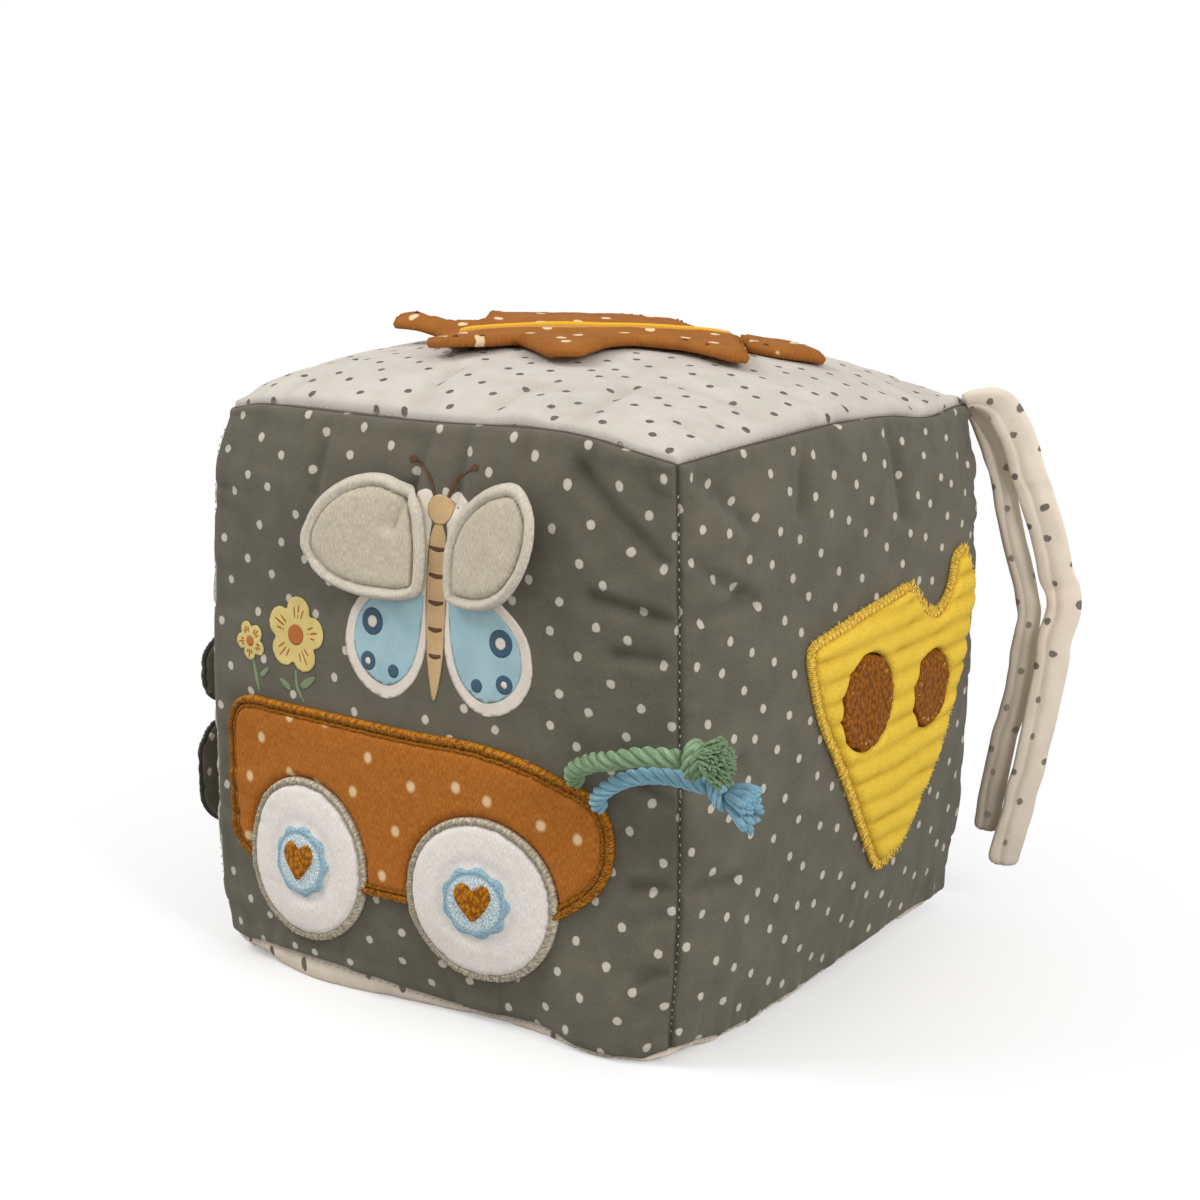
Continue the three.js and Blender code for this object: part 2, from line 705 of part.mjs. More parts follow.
const halfEdge = spineWidth / 2 + flapGap;
const leafHalves = {
  near: [[spineEnds[0], -halfEdge, 0.5], ...nearLobes, [spineEnds[1] - flapGap, -halfEdge, 0.5]],
  far: [[spineEnds[1] - flapGap, halfEdge, 0.5], ...farLobes, [spineEnds[0], halfEdge, 0.5]],
};
const leafLayers = [
  { layer: 'lining', from: 0, thick: leafCloth, color: rustCotton },
  { layer: 'film', from: leafCloth + 0.3, thick: leafFilm, color: clearFilm },
  { layer: 'cloth', from: leafCloth + leafFilm + 0.6, thick: leafCloth, color: rustCotton },
];
for (const [side, corners] of Object.entries(leafHalves)) {
  const level = leafLevel(leafRise[side]);
  for (const { layer, from, thick, color } of leafLayers) {
    const shape = layer === 'film' ? insetCorners(corners, filmInset) : corners;
    add(`leaf_${side}_${layer}`, sewn(
      top,
      ontoTop(roundedOutline(shape, 2)),
      [],
      (x, y) => level(x, y) + from,
      (x, y) => level(x, y) + from + thick,
      ontoTop(roundedOutline(corners, 2)),
    ), color);
  }
}
const leafThick = 2 * leafCloth + leafFilm + 0.6;
const spineOutline = roundedOutline([
  [spineEnds[0], -spineWidth / 2, 0.5],
  [spineEnds[1], -spineWidth / 2, 0.2],
  ...tipLobe,
  [spineEnds[1], spineWidth / 2, 0.2],
  [spineEnds[0], spineWidth / 2, 0.5],
], 2);
const tipLevel = (x, y) => {
  const [along] = alongLeaf(x, y);
  return layerGap + leafRise.tip * Math.max(0, (along - spineEnds[1]) / 20) ** 1.5;
};
add('leaf_spine', sewn(top, ontoTop(spineOutline), [], tipLevel, (x, y) => tipLevel(x, y) + leafThick), rustCotton);
const veinOutline = roundedOutline([
  [veinEnds[0], -veinPoint, 0.5],
  [veinEnds[0] + veinTaper, veinMargin - spineWidth / 2, 2],
  [veinEnds[1], veinMargin - spineWidth / 2, 1],
  [veinEnds[1], spineWidth / 2 - veinMargin, 1],
  [veinEnds[0] + veinTaper, 2 * veinPoint, 2],
  [veinEnds[0], veinPoint, 0.5],
], 2);
const veinLow = layerGap + leafThick + layerGap;
add('leaf_vein_ribbon', sewn(top, ontoTop(veinOutline), [], veinLow, veinLow + veinThickness), yellowRibbon, 0.5);

// Petals: velour outside, a thin lining towards the cube
for (const level of ['upper', 'lower']) {
  const outline = smoothOutline(petalOutlines[level], 28);
  const low = (across) => {
    const reach = Math.min(1.1, Math.max(0, (petalHinge - across) / 47));
    return layerGap + petalStandOff[level] * reach ** 1.3;
  };
  add(`petal_${level}_lining`, sewn(
    left,
    insetOutline(outline, 0.8),
    [],
    low,
    (a) => low(a) + petalLining,
    outline,
  ), velourGrey);
  add(`petal_${level}_velour`, sewn(
    left,
    outline,
    [],
    (a) => low(a) + petalLining + layerGap,
    (a) => low(a) + petalLining + layerGap + petalVelour,
  ), velourGrey);
}

// Cords, knots and tassels
function cord(route, diameter) {
  const points = route.map(([x, y, height]) => new THREE.Vector3(wagonX + halfLong + x, y - halfSize[1], height));
  const path = new THREE.CatmullRomCurve3(points, false, 'centripetal');
  const section = new THREE.Shape(roundOutline([0, 0], [diameter, diameter], cordSides));
  const steps = Math.ceil(path.getLength() / (cordStep * diameter));
  return { path, geometry: new THREE.ExtrudeGeometry(section, { steps, extrudePath: path }) };
}

function addCord(name, route, diameter, color, direction, spread, length) {
  const { path, geometry } = cord(route, diameter);
  add(name, geometry, color);
  const end = path.getPointAt(1);
  const along = path.getTangentAt(1);
  const knotLong = diameter * 1.25;
  const knot = new THREE.SphereGeometry(1, 12, 8);
  knot.scale((knotLong / 2), (diameter * 1.35) / 2, (diameter * knotSwell) / 2);
  const knotMesh = add(`${name}_knot`, knot, color);
  knotMesh.position.copy(end).addScaledVector(along, knotLong / 2 + layerGap);
  const brushProfile = vectors([
    [0, 0],
    [diameter * 0.42, 0],
    [diameter * 0.6, length * 0.3],
    [spread, length * 0.88],
    [spread * 0.86, length],
    [0, length * 0.94],
  ]);
  const brush = new THREE.LatheGeometry(brushProfile, 14);
  brush.scale(1, 1, tasselFlatness);
  const way = new THREE.Vector3(...direction).normalize();
  const brushMesh = add(`${name}_tassel`, brush, color);
  const side = new THREE.Vector3(0, 0, 1).cross(way).normalize();
  const raised = way.clone().cross(side).normalize();
  brushMesh.quaternion.setFromRotationMatrix(new THREE.Matrix4().makeBasis(raised, way, raised.clone().cross(way)));
  brushMesh.position.copy(knotMesh.position).addScaledVector(way, knotLong / 2 + layerGap);
}

addCord('cord_green', greenRoute, greenCordDiameter, greenYarn, tasselDirection.green, tasselSpread.green, tasselLength.green);
addCord('cord_blue', blueRoute, blueCordDiameter, blueYarn, tasselDirection.blue, tasselSpread.blue, tasselLength.blue);

// Ties: flat tubes of folded cloth that hang from the corner in its diagonal plane
const corner = pillow([1, 1, 1]);
const diagonal = new THREE.Vector3(1, 1, 0).normalize();
const sideways = new THREE.Vector3(1, -1, 0).normalize();

function tie(route, width, offset) {
  const points = route.map(([out, height]) => (
    new THREE.Vector3(corner[0], corner[1], height).addScaledVector(diagonal, out).addScaledVector(sideways, offset)
  ));
  const path = new THREE.CatmullRomCurve3(points, false, 'centripetal');
  const rings = [];
  for (let i = 0; i <= tieSteps; i += 1) {
    const middle = path.getPointAt(i / tieSteps);
    const across = path.getTangentAt(i / tieSteps).cross(sideways).normalize();
    const grown = THREE.MathUtils.smoothstep((path.getLength() * i) / tieSteps, 0, tieRoot.length);
    const halfWidth = (width / 2) * (tieRoot.share + (1 - tieRoot.share) * grown);
    for (let k = 0; k < tieSides; k += 1) {
      const angle = (2 * Math.PI * (k + 0.5)) / tieSides;
      const flat = Math.sign(Math.cos(angle)) * Math.abs(Math.cos(angle)) ** 0.8;
      rings.push(middle.clone()
        .addScaledVector(across, halfWidth * flat)
        .addScaledVector(sideways, (tieThickness / 2) * Math.sin(angle))
        .toArray());
    }
  }
  const triangles = [];
  for (let i = 0; i < tieSteps; i += 1) {
    for (let k = 0; k < tieSides; k += 1) {
      const [a, b] = [i * tieSides + k, i * tieSides + ((k + 1) % tieSides)];
      triangles.push([a, b, b + tieSides], [a, b + tieSides, a + tieSides]);
    }
  }
  const last = tieSteps * tieSides;
  for (let k = 1; k < tieSides - 1; k += 1) {
    triangles.push([0, k + 1, k], [last, last + k, last + k + 1]);
  }
  return facingOut(geometryOf(rings, triangles));
}

add('tie_outer', tie(tieRoutes.outer, tieWidth.outer, tieOffset.outer), creamCotton);
add('tie_inner', tie(tieRoutes.inner, tieWidth.inner, tieOffset.inner), creamCotton);

export default model;
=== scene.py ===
import math

import bpy
import numpy as np
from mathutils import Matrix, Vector


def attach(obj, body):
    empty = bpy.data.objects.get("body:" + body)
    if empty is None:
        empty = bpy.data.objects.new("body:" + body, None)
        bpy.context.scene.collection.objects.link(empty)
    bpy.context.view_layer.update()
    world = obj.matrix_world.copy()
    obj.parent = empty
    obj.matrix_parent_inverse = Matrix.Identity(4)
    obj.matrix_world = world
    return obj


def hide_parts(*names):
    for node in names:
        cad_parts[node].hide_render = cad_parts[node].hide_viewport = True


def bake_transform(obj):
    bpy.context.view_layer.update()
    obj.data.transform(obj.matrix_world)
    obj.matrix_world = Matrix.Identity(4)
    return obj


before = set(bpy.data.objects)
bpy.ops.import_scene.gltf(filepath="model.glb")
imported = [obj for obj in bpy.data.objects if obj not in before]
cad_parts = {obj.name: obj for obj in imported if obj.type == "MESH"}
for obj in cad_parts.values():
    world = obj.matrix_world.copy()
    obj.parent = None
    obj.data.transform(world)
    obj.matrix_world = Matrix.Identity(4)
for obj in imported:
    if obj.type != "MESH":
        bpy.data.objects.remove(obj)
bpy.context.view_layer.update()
print("frame loaded")

# Lengths are in millimetres up to the point where a mesh is made
mm = 0.001


# Camera

photoCamera = {
    "place": (0.43835, -0.60926, 0.26851),
    "target": (-0.00060, -0.00043, 0.08953),
    "lens": 88.49,
}


def placed(name, data, place, target):
    # a camera or lamp that looks at its target
    item = bpy.data.objects.new(name, data)
    item.location = place
    item.rotation_euler = (Vector(target) - Vector(place)).to_track_quat("-Z", "Y").to_euler()
    bpy.context.collection.objects.link(item)
    return item


def makeCamera(look):
    data = bpy.data.cameras.new("photoCamera")
    data.sensor_width = 36
    data.lens = look["lens"]
    data.clip_start = 0.05
    data.clip_end = 60
    bpy.context.scene.camera = placed("photoCamera", data, look["place"], look["target"])


makeCamera(photoCamera)


# Shaders

def tint(red, green, blue):
    # screen values from 0 to 255 as the linear colour that a shader takes
    values = [((c / 255 + 0.055) / 1.055) ** 2.4 for c in (red, green, blue)]
    return (*values, 1.0)


class Signal:
    # An output socket, so that maths on it reads as maths
    def __init__(self, finish, socket):
        self.finish = finish
        self.socket = socket

    def output(self, name):
        return Signal(self.finish, self.socket.node.outputs[name])

    def maths(self, operation, *values):
        return self.finish.node("Math", {"operation": operation}, dict(enumerate(values)))

    def __add__(self, other):
        return self.maths("ADD", self, other)

    def __sub__(self, other):
        return self.maths("SUBTRACT", self, other)

    def __mul__(self, other):
        return self.maths("MULTIPLY", self, other)

    __radd__ = __add__
    __rmul__ = __mul__

    def __rsub__(self, other):
        return self.maths("SUBTRACT", other, self)

    def sine(self):
        return self.maths("SINE", self)

    def highest(self, other):
        return self.maths("MAXIMUM", self, other)

    def step(self, low, high):
        # 0 below low, 1 above high, and smooth between them
        return self.finish.node(
            "MapRange",
            {"interpolation_type": "SMOOTHSTEP"},
            {"Value": self, "From Min": low, "From Max": high},
        )


class Finish:
    # A material in the making
    def __init__(self, name):
        self.material = bpy.data.materials.new(name)
        self.material.use_nodes = True
        self.tree = self.material.node_tree
        self.shader = self.tree.nodes["Principled BSDF"]

    def node(self, kind, settings=None, inputs=None, output=0):
        node = self.tree.nodes.new("ShaderNode" + kind)
        for name, value in (settings or {}).items():
            setattr(node, name, value)
        for name, value in (inputs or {}).items():
            self.feed(node.inputs[name], value)
        return Signal(self, node.outputs[output])

    def feed(self, socket, value):
        if isinstance(value, Signal):
            self.tree.links.new(value.socket, socket)
        else:
            socket.default_value = value

    def cloth(self, location=(0, 0, 0), turn=0, scale=(1, 1, 1)):
        # the piece's own map, in tenths of a metre
        flat = self.node("UVMap", {"uv_map": "cloth"})
        rotation = (0, 0, math.radians(turn))
        inputs = {"Vector": flat, "Location": location, "Rotation": rotation, "Scale": scale}
        return self.node("Mapping", {}, inputs)

    def solid(self, scale=(1, 1, 1)):
        place = self.node("TexCoord", {}, {}, "Object")
        return self.node("Mapping", {}, {"Vector": place, "Scale": scale})

    def noise(self, place, scale, detail=3, rough=0.5):
        inputs = {"Vector": place, "Scale": scale, "Detail": detail, "Roughness": rough}
        return self.node("TexNoise", {}, inputs)

    def fibre(self):
        # fine threads along the cloth
        return self.noise(self.cloth(scale=(1, 0.25, 1)), 420, 2)

    def spots(self, place, spacing, scatter=1.0):
        # distance to the nearest of scattered points, in parts of their spacing
        inputs = {"Vector": place, "Scale": 100 / spacing, "Randomness": scatter}
        return self.node("TexVoronoi", {"voronoi_dimensions": "2D"}, inputs, "Distance")

    def parts(self, vector):
        split = self.node("SeparateXYZ", {}, {0: vector})
        return split, split.output("Y")

    def mark(self, name):
        return self.node("Attribute", {"attribute_name": name}, {}, "Fac")

    def mix(self, factor, first, second):
        return self.node("Mix", {"data_type": "RGBA"}, {0: factor, 6: first, 7: second}, 2)

    def bump(self, height, depth, strength=1.0):
        # depth is the height in millimetres that a change of 1 stands for
        inputs = {"Height": height, "Distance": depth * mm, "Strength": strength}
        return self.node("Bump", {}, inputs, "Normal")

    def finished(self, colour, roughness, normal=None, sheen=0.0, sheenTint=(1, 1, 1, 1), specular=0.5):
        self.feed(self.shader.inputs["Base Color"], colour)
        self.feed(self.shader.inputs["Roughness"], roughness)
        self.shader.inputs["Specular IOR Level"].default_value = specular
        self.shader.inputs["Sheen Weight"].default_value = sheen
        self.shader.inputs["Sheen Roughness"].default_value = 0.5
        self.shader.inputs["Sheen Tint"].default_value = sheenTint
        if normal is not None:
            self.feed(self.shader.inputs["Normal"], normal)
        return self.material


def weave(finish, place, pitch):
    # over and under of two sets of threads, from -1 to 1
    across, up = finish.parts(place)
    turns = 2 * math.pi * 100 / pitch
    return (across * turns).sine() * (up * turns).sine()


def printedCotton(name, look):
    # woven cloth with scattered printed dots, each of its own size
    finish = Finish(name)
    place = finish.cloth(look["shift"], look["turn"], look["stretch"])
    wander = finish.noise(place, 90, 2)
    cells = finish.spots(place, look["spacing"], look["scatter"])
    reach = look["dot"] / 2 / look["spacing"]
    ragged = cells + (wander - 0.5) * (0.5 * reach)
    dots = 1 - ragged.step(0.8 * reach, 1.15 * reach)
    flat = finish.cloth()
    mottle = finish.noise(flat, 9, 4, 0.6)
    fibre = finish.fibre()
    threads = weave(finish, flat, look["thread"])
    ground = finish.mix(mottle.step(0.3, 0.7), look["shade"], look["ground"])
    worn = (fibre.step(0.35, 0.65) * 0.6 + threads * 0.2) * look["grain"]
    ground = finish.mix(worn, ground, look["thin"])
    ink = finish.mix(fibre * 0.35, look["ink"], look["ground"])
    # painted shade: the cloth turns towards its crease colour where the mark is high, along the seams, in the
    # hollows of the folds and down the ties
    colour = finish.mix(finish.mark("paintedShade") * 0.75, finish.mix(dots, ground, ink), look["crease"])
    normal = finish.bump(threads * 0.6 + fibre, 0.09, 0.8)
    return finish.finished(colour, 0.92, normal, sheen=look["sheen"], specular=0.15)


def inkedCotton(name, ink, shade):
    # woven cloth under ink of one colour, worn a little on the threads
    finish = Finish(name)
    flat = finish.cloth()
    fibre = finish.fibre()
    patchy = finish.noise(flat, 16, 3)
    colour = finish.mix(patchy.step(0.3, 0.7) * 0.6 + fibre.step(0.4, 0.7) * 0.4, ink, shade)
    normal = finish.bump(weave(finish, flat, 0.6) * 0.5 + fibre * 0.8, 0.09, 0.8)
    return finish.finished(colour, 0.92, normal, sheen=0.1, specular=0.2)


def plush(name, look):
    # short pile: strokes along the nap, tufts, and a light sheen
    finish = Finish(name)
    nap = finish.cloth(turn=look.get("turn", 0), scale=(1, look["nap"], 1))
    strokes = finish.noise(nap, look["fineness"], 4, 0.65)
    tufts = finish.noise(finish.cloth(scale=(1, 0.6, 1)), 42, 3, 0.6)
    depth = strokes.step(0.3, 0.72)
    colour = finish.mix(depth, look["deep"], look["tip"])
    colour = finish.mix(tufts.step(0.35, 0.7) * 0.3, colour, look["deep"])
    # painted shade in the valleys between the ribs
    if "valleyShade" in look:
        colour = finish.mix(finish.mark("valleyShade") * 0.8, colour, look["valleyShade"])
    if "ink" in look:
        place = finish.cloth(look["shift"], 12, (1, 0.9, 1))
        cells = finish.spots(place, look["spacing"], 0.55)
        reach = look["dot"] / 2 / look["spacing"]
        soft = cells + (strokes - 0.5) * (1.1 * reach)
        dots = (1 - soft.step(0.55 * reach, 1.35 * reach)) * 0.85
        colour = finish.mix(dots, colour, look["ink"])
    normal = finish.bump(strokes + tufts * 0.3, look["pile"], 0.7)
    return finish.finished(colour, 0.95, normal, look["sheen"], look["tip"], 0.15)


def satin(name, look):
    # threads laid side by side across the piece: u counts along, v across
    finish = Finish(name)
    place = finish.cloth()
    along, across = finish.parts(place)
    turns = 2 * math.pi * 100 / look["pitch"]
    wander = finish.noise(place, 70, 2)
    threads = (along * turns + across * look["slant"] + wander * 5).sine()
    ply = finish.noise(finish.cloth(scale=(1, 0.45, 1)), 230, 2, 0.6)
    light = finish.mix((threads * 0.12 + ply).step(0.34, 0.58), look["deep"], look["bright"])
    # painted shade on the inner flank of each row of stitches, in the flank colour
    colour = finish.mix(finish.mark("inner") * look["shadow"], light, look["flankShade"])
    return finish.finished(colour, 0.42, finish.bump(threads * 0.6 + ply, 0.12, 0.8), specular=0.2)


def seedStitch(name, look):
    # many short stitches at mixed angles
    finish = Finish(name)
    cells = finish.spots(finish.cloth(scale=(1, 0.55, 1), turn=look["turn"]), look["pitch"])
    flecks = finish.noise(finish.cloth(), 320, 3, 0.7)
    colour = finish.mix(cells.step(0.1, 0.6), look["bright"], look["deep"])
    colour = finish.mix(flecks.step(0.52, 0.66) * look["fleck"], colour, look["glint"])
    normal = finish.bump((1 - cells) + flecks * 0.5, 0.25, 0.8)
    return finish.finished(colour, 0.5, normal, specular=0.1)


def yarn(name, look):
    # plied yarn: u runs round the piece and v along it, both in tenths of a metre
    finish = Finish(name)
    place = finish.cloth()
    around, along = finish.parts(place)
    turn = 2 * math.pi * 100
    fibres = (around * (turn / look["ply"]) + along * (turn / look["lay"])).sine()
    fuzz = finish.noise(finish.cloth(scale=(1, 0.16, 1)), 190, 3, 0.65)
    colour = finish.mix((fibres * 0.16 + fuzz).step(0.3, 0.7), look["deep"], look["tip"])
    # painted glints on the fuzz, then painted shade in the crevices between the strands
    colour = finish.mix(fuzz.step(0.55, 0.75) * 0.45, colour, look["glint"])
    colour = finish.mix(finish.mark("creviceShade") * 0.75, colour, look["shade"])
    return finish.finished(colour, 0.85, finish.bump(fibres * 0.4 + fuzz, 0.14, 0.7), 0.3, look["tip"], 0.2)


def plainThread(name, colour, deep):
    finish = Finish(name)
    fuzz = finish.noise(finish.solid(), 2500, 2)
    mixed = finish.mix(fuzz.step(0.35, 0.65), deep, colour)
    return finish.finished(mixed, 0.8, finish.bump(fuzz, 0.05, 0.5))


# crease is the colour of painted shade, laid along the seams and in the folds
greyPrint = {
    "ground": tint(104, 100, 86), "shade": tint(91, 87, 74), "thin": tint(118, 113, 98),
    "ink": tint(214, 207, 191), "crease": tint(38, 35, 29), "spacing": 9.4, "dot": 2.1, "scatter": 0.36,
    "thread": 0.62, "grain": 0.55, "sheen": 0.12, "shift": (0.31, 0.12, 0), "turn": 27,
    "stretch": (1, 0.96, 1),
}
creamPrint = {
    "ground": tint(206, 199, 189), "shade": tint(195, 186, 175), "thin": tint(215, 208, 199),
    "ink": tint(42, 33, 33), "crease": tint(150, 138, 122), "spacing": 8.6, "dot": 2.0, "scatter": 0.4,
    "thread": 0.6, "grain": 0.5, "sheen": 0.06, "shift": (0.17, 0.43, 0), "turn": 36, "stretch": (1, 1, 1),
}
rustPrint = {
    "ground": tint(163, 102, 44), "shade": tint(148, 88, 35), "thin": tint(176, 116, 56),
    "ink": tint(244, 222, 182), "crease": tint(90, 52, 20), "spacing": 11.5, "dot": 2.6, "scatter": 0.6,
    "thread": 0.6, "grain": 0.6, "sheen": 0.0, "shift": (0.05, 0.27, 0), "turn": 20, "stretch": (1, 1, 1),
}
tiePrint = {
    **creamPrint, "ground": tint(246, 231, 212), "shade": tint(234, 217, 197), "thin": tint(250, 240, 225),
}
greyCotton = printedCotton("greyCotton", greyPrint)
creamCotton = printedCotton("creamCotton", creamPrint)
tieCotton = printedCotton("tieCotton", tiePrint)
rustCotton = printedCotton("rustCotton", rustPrint)
rustPlush = plush("rustPlush", {
    "deep": tint(152, 86, 28), "tip": tint(202, 127, 54), "ink": tint(236, 208, 158), "nap": 0.2,
    "fineness": 380, "pile": 0.4, "sheen": 0.12, "spacing": 12.2, "dot": 2.5, "shift": (0.4, 0.22, 0),
})
whitePlush = plush("whitePlush", {
    "deep": tint(224, 215, 206), "tip": tint(252, 246, 239), "nap": 0.22, "fineness": 360,
    "pile": 0.4, "sheen": 0.25,
})
yellowPlush = plush("yellowPlush", {
    "deep": tint(234, 184, 44), "tip": tint(255, 228, 96), "nap": 0.5, "turn": 90, "fineness": 300,
    "pile": 0.5, "sheen": 0.25, "valleyShade": tint(176, 128, 26),
})
creamPlush = plush("creamPlush", {
    "deep": tint(196, 186, 168), "tip": tint(228, 219, 204), "nap": 0.25, "fineness": 340,
    "pile": 0.5, "sheen": 0.25,
})
beigePlush = plush("beigePlush", {
    "deep": tint(184, 171, 150), "tip": tint(219, 209, 189), "nap": 0.22, "fineness": 340,
    "pile": 0.4, "sheen": 0.2,
})
greyVelour = plush("greyVelour", {
    "deep": tint(62, 59, 54), "tip": tint(104, 101, 93), "nap": 0.35, "fineness": 200,
    "pile": 0.4, "sheen": 0.5, "ink": tint(176, 168, 154), "spacing": 13, "dot": 3.2, "shift": (0.1, 0.5, 0),
})
goldSatin = satin("goldSatin", {
    "deep": tint(98, 52, 2), "bright": tint(218, 140, 24), "flankShade": tint(74, 38, 2),
    "pitch": 0.5, "slant": 800, "shadow": 0.6,
})
beigeSatin = satin("beigeSatin", {
    "deep": tint(146, 135, 112), "bright": tint(232, 221, 198), "flankShade": tint(112, 102, 82),
    "pitch": 0.46, "slant": 600, "shadow": 0.5,
})
yellowSatin = satin("yellowSatin", {
    "deep": tint(210, 156, 36), "bright": tint(255, 222, 104), "flankShade": tint(190, 140, 30),
    "pitch": 0.5, "slant": 400, "shadow": 0.45,
})
brownSeeds = seedStitch("brownSeeds", {
    "deep": tint(108, 56, 2), "bright": tint(156, 92, 8), "glint": tint(198, 130, 30),
    "fleck": 0.5, "pitch": 1.0, "turn": 40,
})
goldSeeds = seedStitch("goldSeeds", {
    "deep": tint(126, 70, 4), "bright": tint(190, 118, 16), "glint": tint(232, 168, 60),
    "fleck": 0.6, "pitch": 0.9, "turn": 60,
})
greenYarn = yarn("greenYarn", {
    "deep": tint(94, 124, 90), "tip": tint(160, 186, 148), "glint": tint(206, 216, 182),
    "shade": tint(62, 80, 56), "ply": 0.5, "lay": 7.0,
})
blueYarn = yarn("blueYarn", {
    "deep": tint(108, 160, 184), "tip": tint(172, 214, 230), "glint": tint(216, 236, 240),
    "shade": tint(74, 116, 136), "ply": 0.5, "lay": 7.0,
})
inks = {
    "cream": ((232, 222, 208), (218, 206, 190)),
    "sky": ((168, 199, 206), (150, 182, 190)),
    "navy": ((72, 98, 118), (60, 84, 104)),
    "tan": ((208, 176, 130), (190, 156, 110)),
    "brown": ((110, 76, 52), (92, 62, 42)),
    "pale": ((226, 204, 132), (208, 184, 108)),
    "rust": ((196, 118, 58), (176, 100, 46)),
    "leaf": ((132, 148, 112), (116, 132, 98)),
}
inks = {name: inkedCotton(name + "Ink", tint(*ink), tint(*shade)) for name, (ink, shade) in inks.items()}
darkThread = plainThread("darkThread", tint(106, 62, 28), tint(82, 46, 20))
seamThread = plainThread("seamThread", tint(196, 190, 176), tint(160, 154, 140))
yellowPile = plainThread("yellowPile", tint(252, 218, 96), tint(232, 184, 52))
print("cloth, plush and yarn finishes made")


# Surfaces

body = {
    "half": 70, "middle": 74, "sideCrown": 8, "topCrown": 13.8, "bottomCrown": 8,
    "seamBow": 1.2, "roundness": 0.6, "passes": 12,
    "lean": [
        ((-1, -1, -1), (-1.3, -1.5, -0.3)),
        ((1, -1, -1), (2.3, 0, -3.8)),
        ((1, 1, -1), (-1.8, 0, 3)),
        ((-1, -1, 1), (-0.5, 0.3, 2.6)),
        ((1, -1, 1), (1, 1, 1.9)),
        ((1, 1, 1), (0.9, -0.5, -3.2)),
    ],
    "nudges": [
        ((-1, -1, 1), (2.8, 1.8, -2.2), (0.14, 0.2, 0.14)),
        ((1, -1, 1), (-0.6, 0.4, -2.2), (0.3, 0.3, 0.3)),
        ((1, 1, 1), (-1.2, -1.2, -0.6), (0.2, 0.2, 0.2)),
        ((-1, 1, 1), (2.5, -2.5, -2.5), (0.18, 0.18, 0.18)),
        ((1, -1, -1), (-1.0, 0.8, 3.6), (0.16, 0.22, 0.22)),
        ((1, 1, -1), (-1.8, -1.8, -3.4), (0.3, 0.3, 0.3)),
        ((-1, -1, -1), (2.2, 1.6, 1.4), (0.16, 0.16, 0.16)),
        ((-1, 1, -1), (3.0, -3.0, 2.5), (0.2, 0.2, 0.2)),
        ((-0.42, -1, -1), (0, -5.5, 0), (0.45, 0.3, 0.4)),
        ((-0.42, -1, -1), (0, 0, 4.6), (0.42, 0.06, 0.14)),
        ((-0.45, -0.92, -1), (0, -2.5, -3.5), (0.4, 0.07, 0.1)),
        ((0.74, -1, -1), (0, -6.5, 0), (0.26, 0.3, 0.4)),
        ((0.48, -1, -1), (0, 0, 1.8), (0.16, 0.06, 0.14)),
        ((0.84, -1, -1), (0, 0, -3.0), (0.13, 0.3, 0.3)),
        ((-0.92, -1, -1), (0, 0, -1.8), (0.12, 0.2, 0.2)),
        ((0.0, -1, -0.5), (0, -3.0, 0), (0.34, 0.4, 0.45)),
        ((0.66, -1, -0.45), (0, 2.4, 0), (0.26, 0.4, 0.4)),
        ((0, -0.1, 1), (0, 0, -1.1), (0.6, 0.4, 0.3)),
        ((0.55, -0.92, -1), (0, -2.0, -2.0), (0.26, 0.07, 0.1)),
        ((1, 0.35, -1), (-1.0, 0, 0), (0.3, 0.4, 0.3)),
        ((1, 0.62, 1), (0.5, 0, -2.1), (0.3, 0.2, 0.16)),
        ((1, -0.05, 1), (0, 0, 0.7), (0.3, 0.3, 0.2)),
        ((0.58, -1, 1), (0, 0, 2.8), (0.45, 0.3, 0.2)),
    ],
}
faces = {
    "front": {"normal": 1, "sign": -1, "across": 0, "up": 2, "seed": 11},
    "back": {"normal": 1, "sign": 1, "across": 0, "up": 2, "seed": 12},
    "right": {"normal": 0, "sign": 1, "across": 1, "up": 2, "seed": 13},
    "left": {"normal": 0, "sign": -1, "across": 1, "up": 2, "seed": 14},
    "top": {"normal": 2, "sign": 1, "across": 0, "up": 1, "seed": 15},
    "bottom": {"normal": 2, "sign": -1, "across": 0, "up": 1, "seed": 16},
}


def crownProfile(t):
    # 1 in the middle, 0 at a seam: a parabola with a flattened, steep edge
    return 1 - body["roundness"] * t ** 2 - (1 - body["roundness"]) * np.abs(t) ** 8


def pillow(q):
    # each axis is q times half the cube, a crown that fades to the seams, and the seams' bow
    place = np.empty_like(q)
    for axis in range(3):
        b, c = q[..., (axis + 1) % 3], q[..., (axis + 2) % 3]
        crown = body["sideCrown"]
        if axis == 2:
            crown = np.where(q[..., 2] < 0, body["bottomCrown"], body["topCrown"])
        edge = np.abs(b) ** 6 * (1 - c ** 2) + np.abs(c) ** 6 * (1 - b ** 2)
        swell = crown * crownProfile(b) * crownProfile(c) + body["seamBow"] * edge
        place[..., axis] = q[..., axis] * (body["half"] + swell)
    for at, by in body["lean"]:
        share = np.prod((1 + np.array(at) * q) / 2, axis=-1)
        place += share[..., None] * np.array(by)
    for at, by, width in body["nudges"]:
        away = np.sum(((q - np.array(at)) / np.array(width)) ** 2, axis=-1)
        place += np.exp(-away)[..., None] * np.array(by)
    place[..., 2] += body["middle"]
    floor = (1 - np.abs(q[..., 2])) * body["half"]
    place[..., 2] = np.where(q[..., 2] < 0, np.maximum(place[..., 2], floor), place[..., 2])
    return place


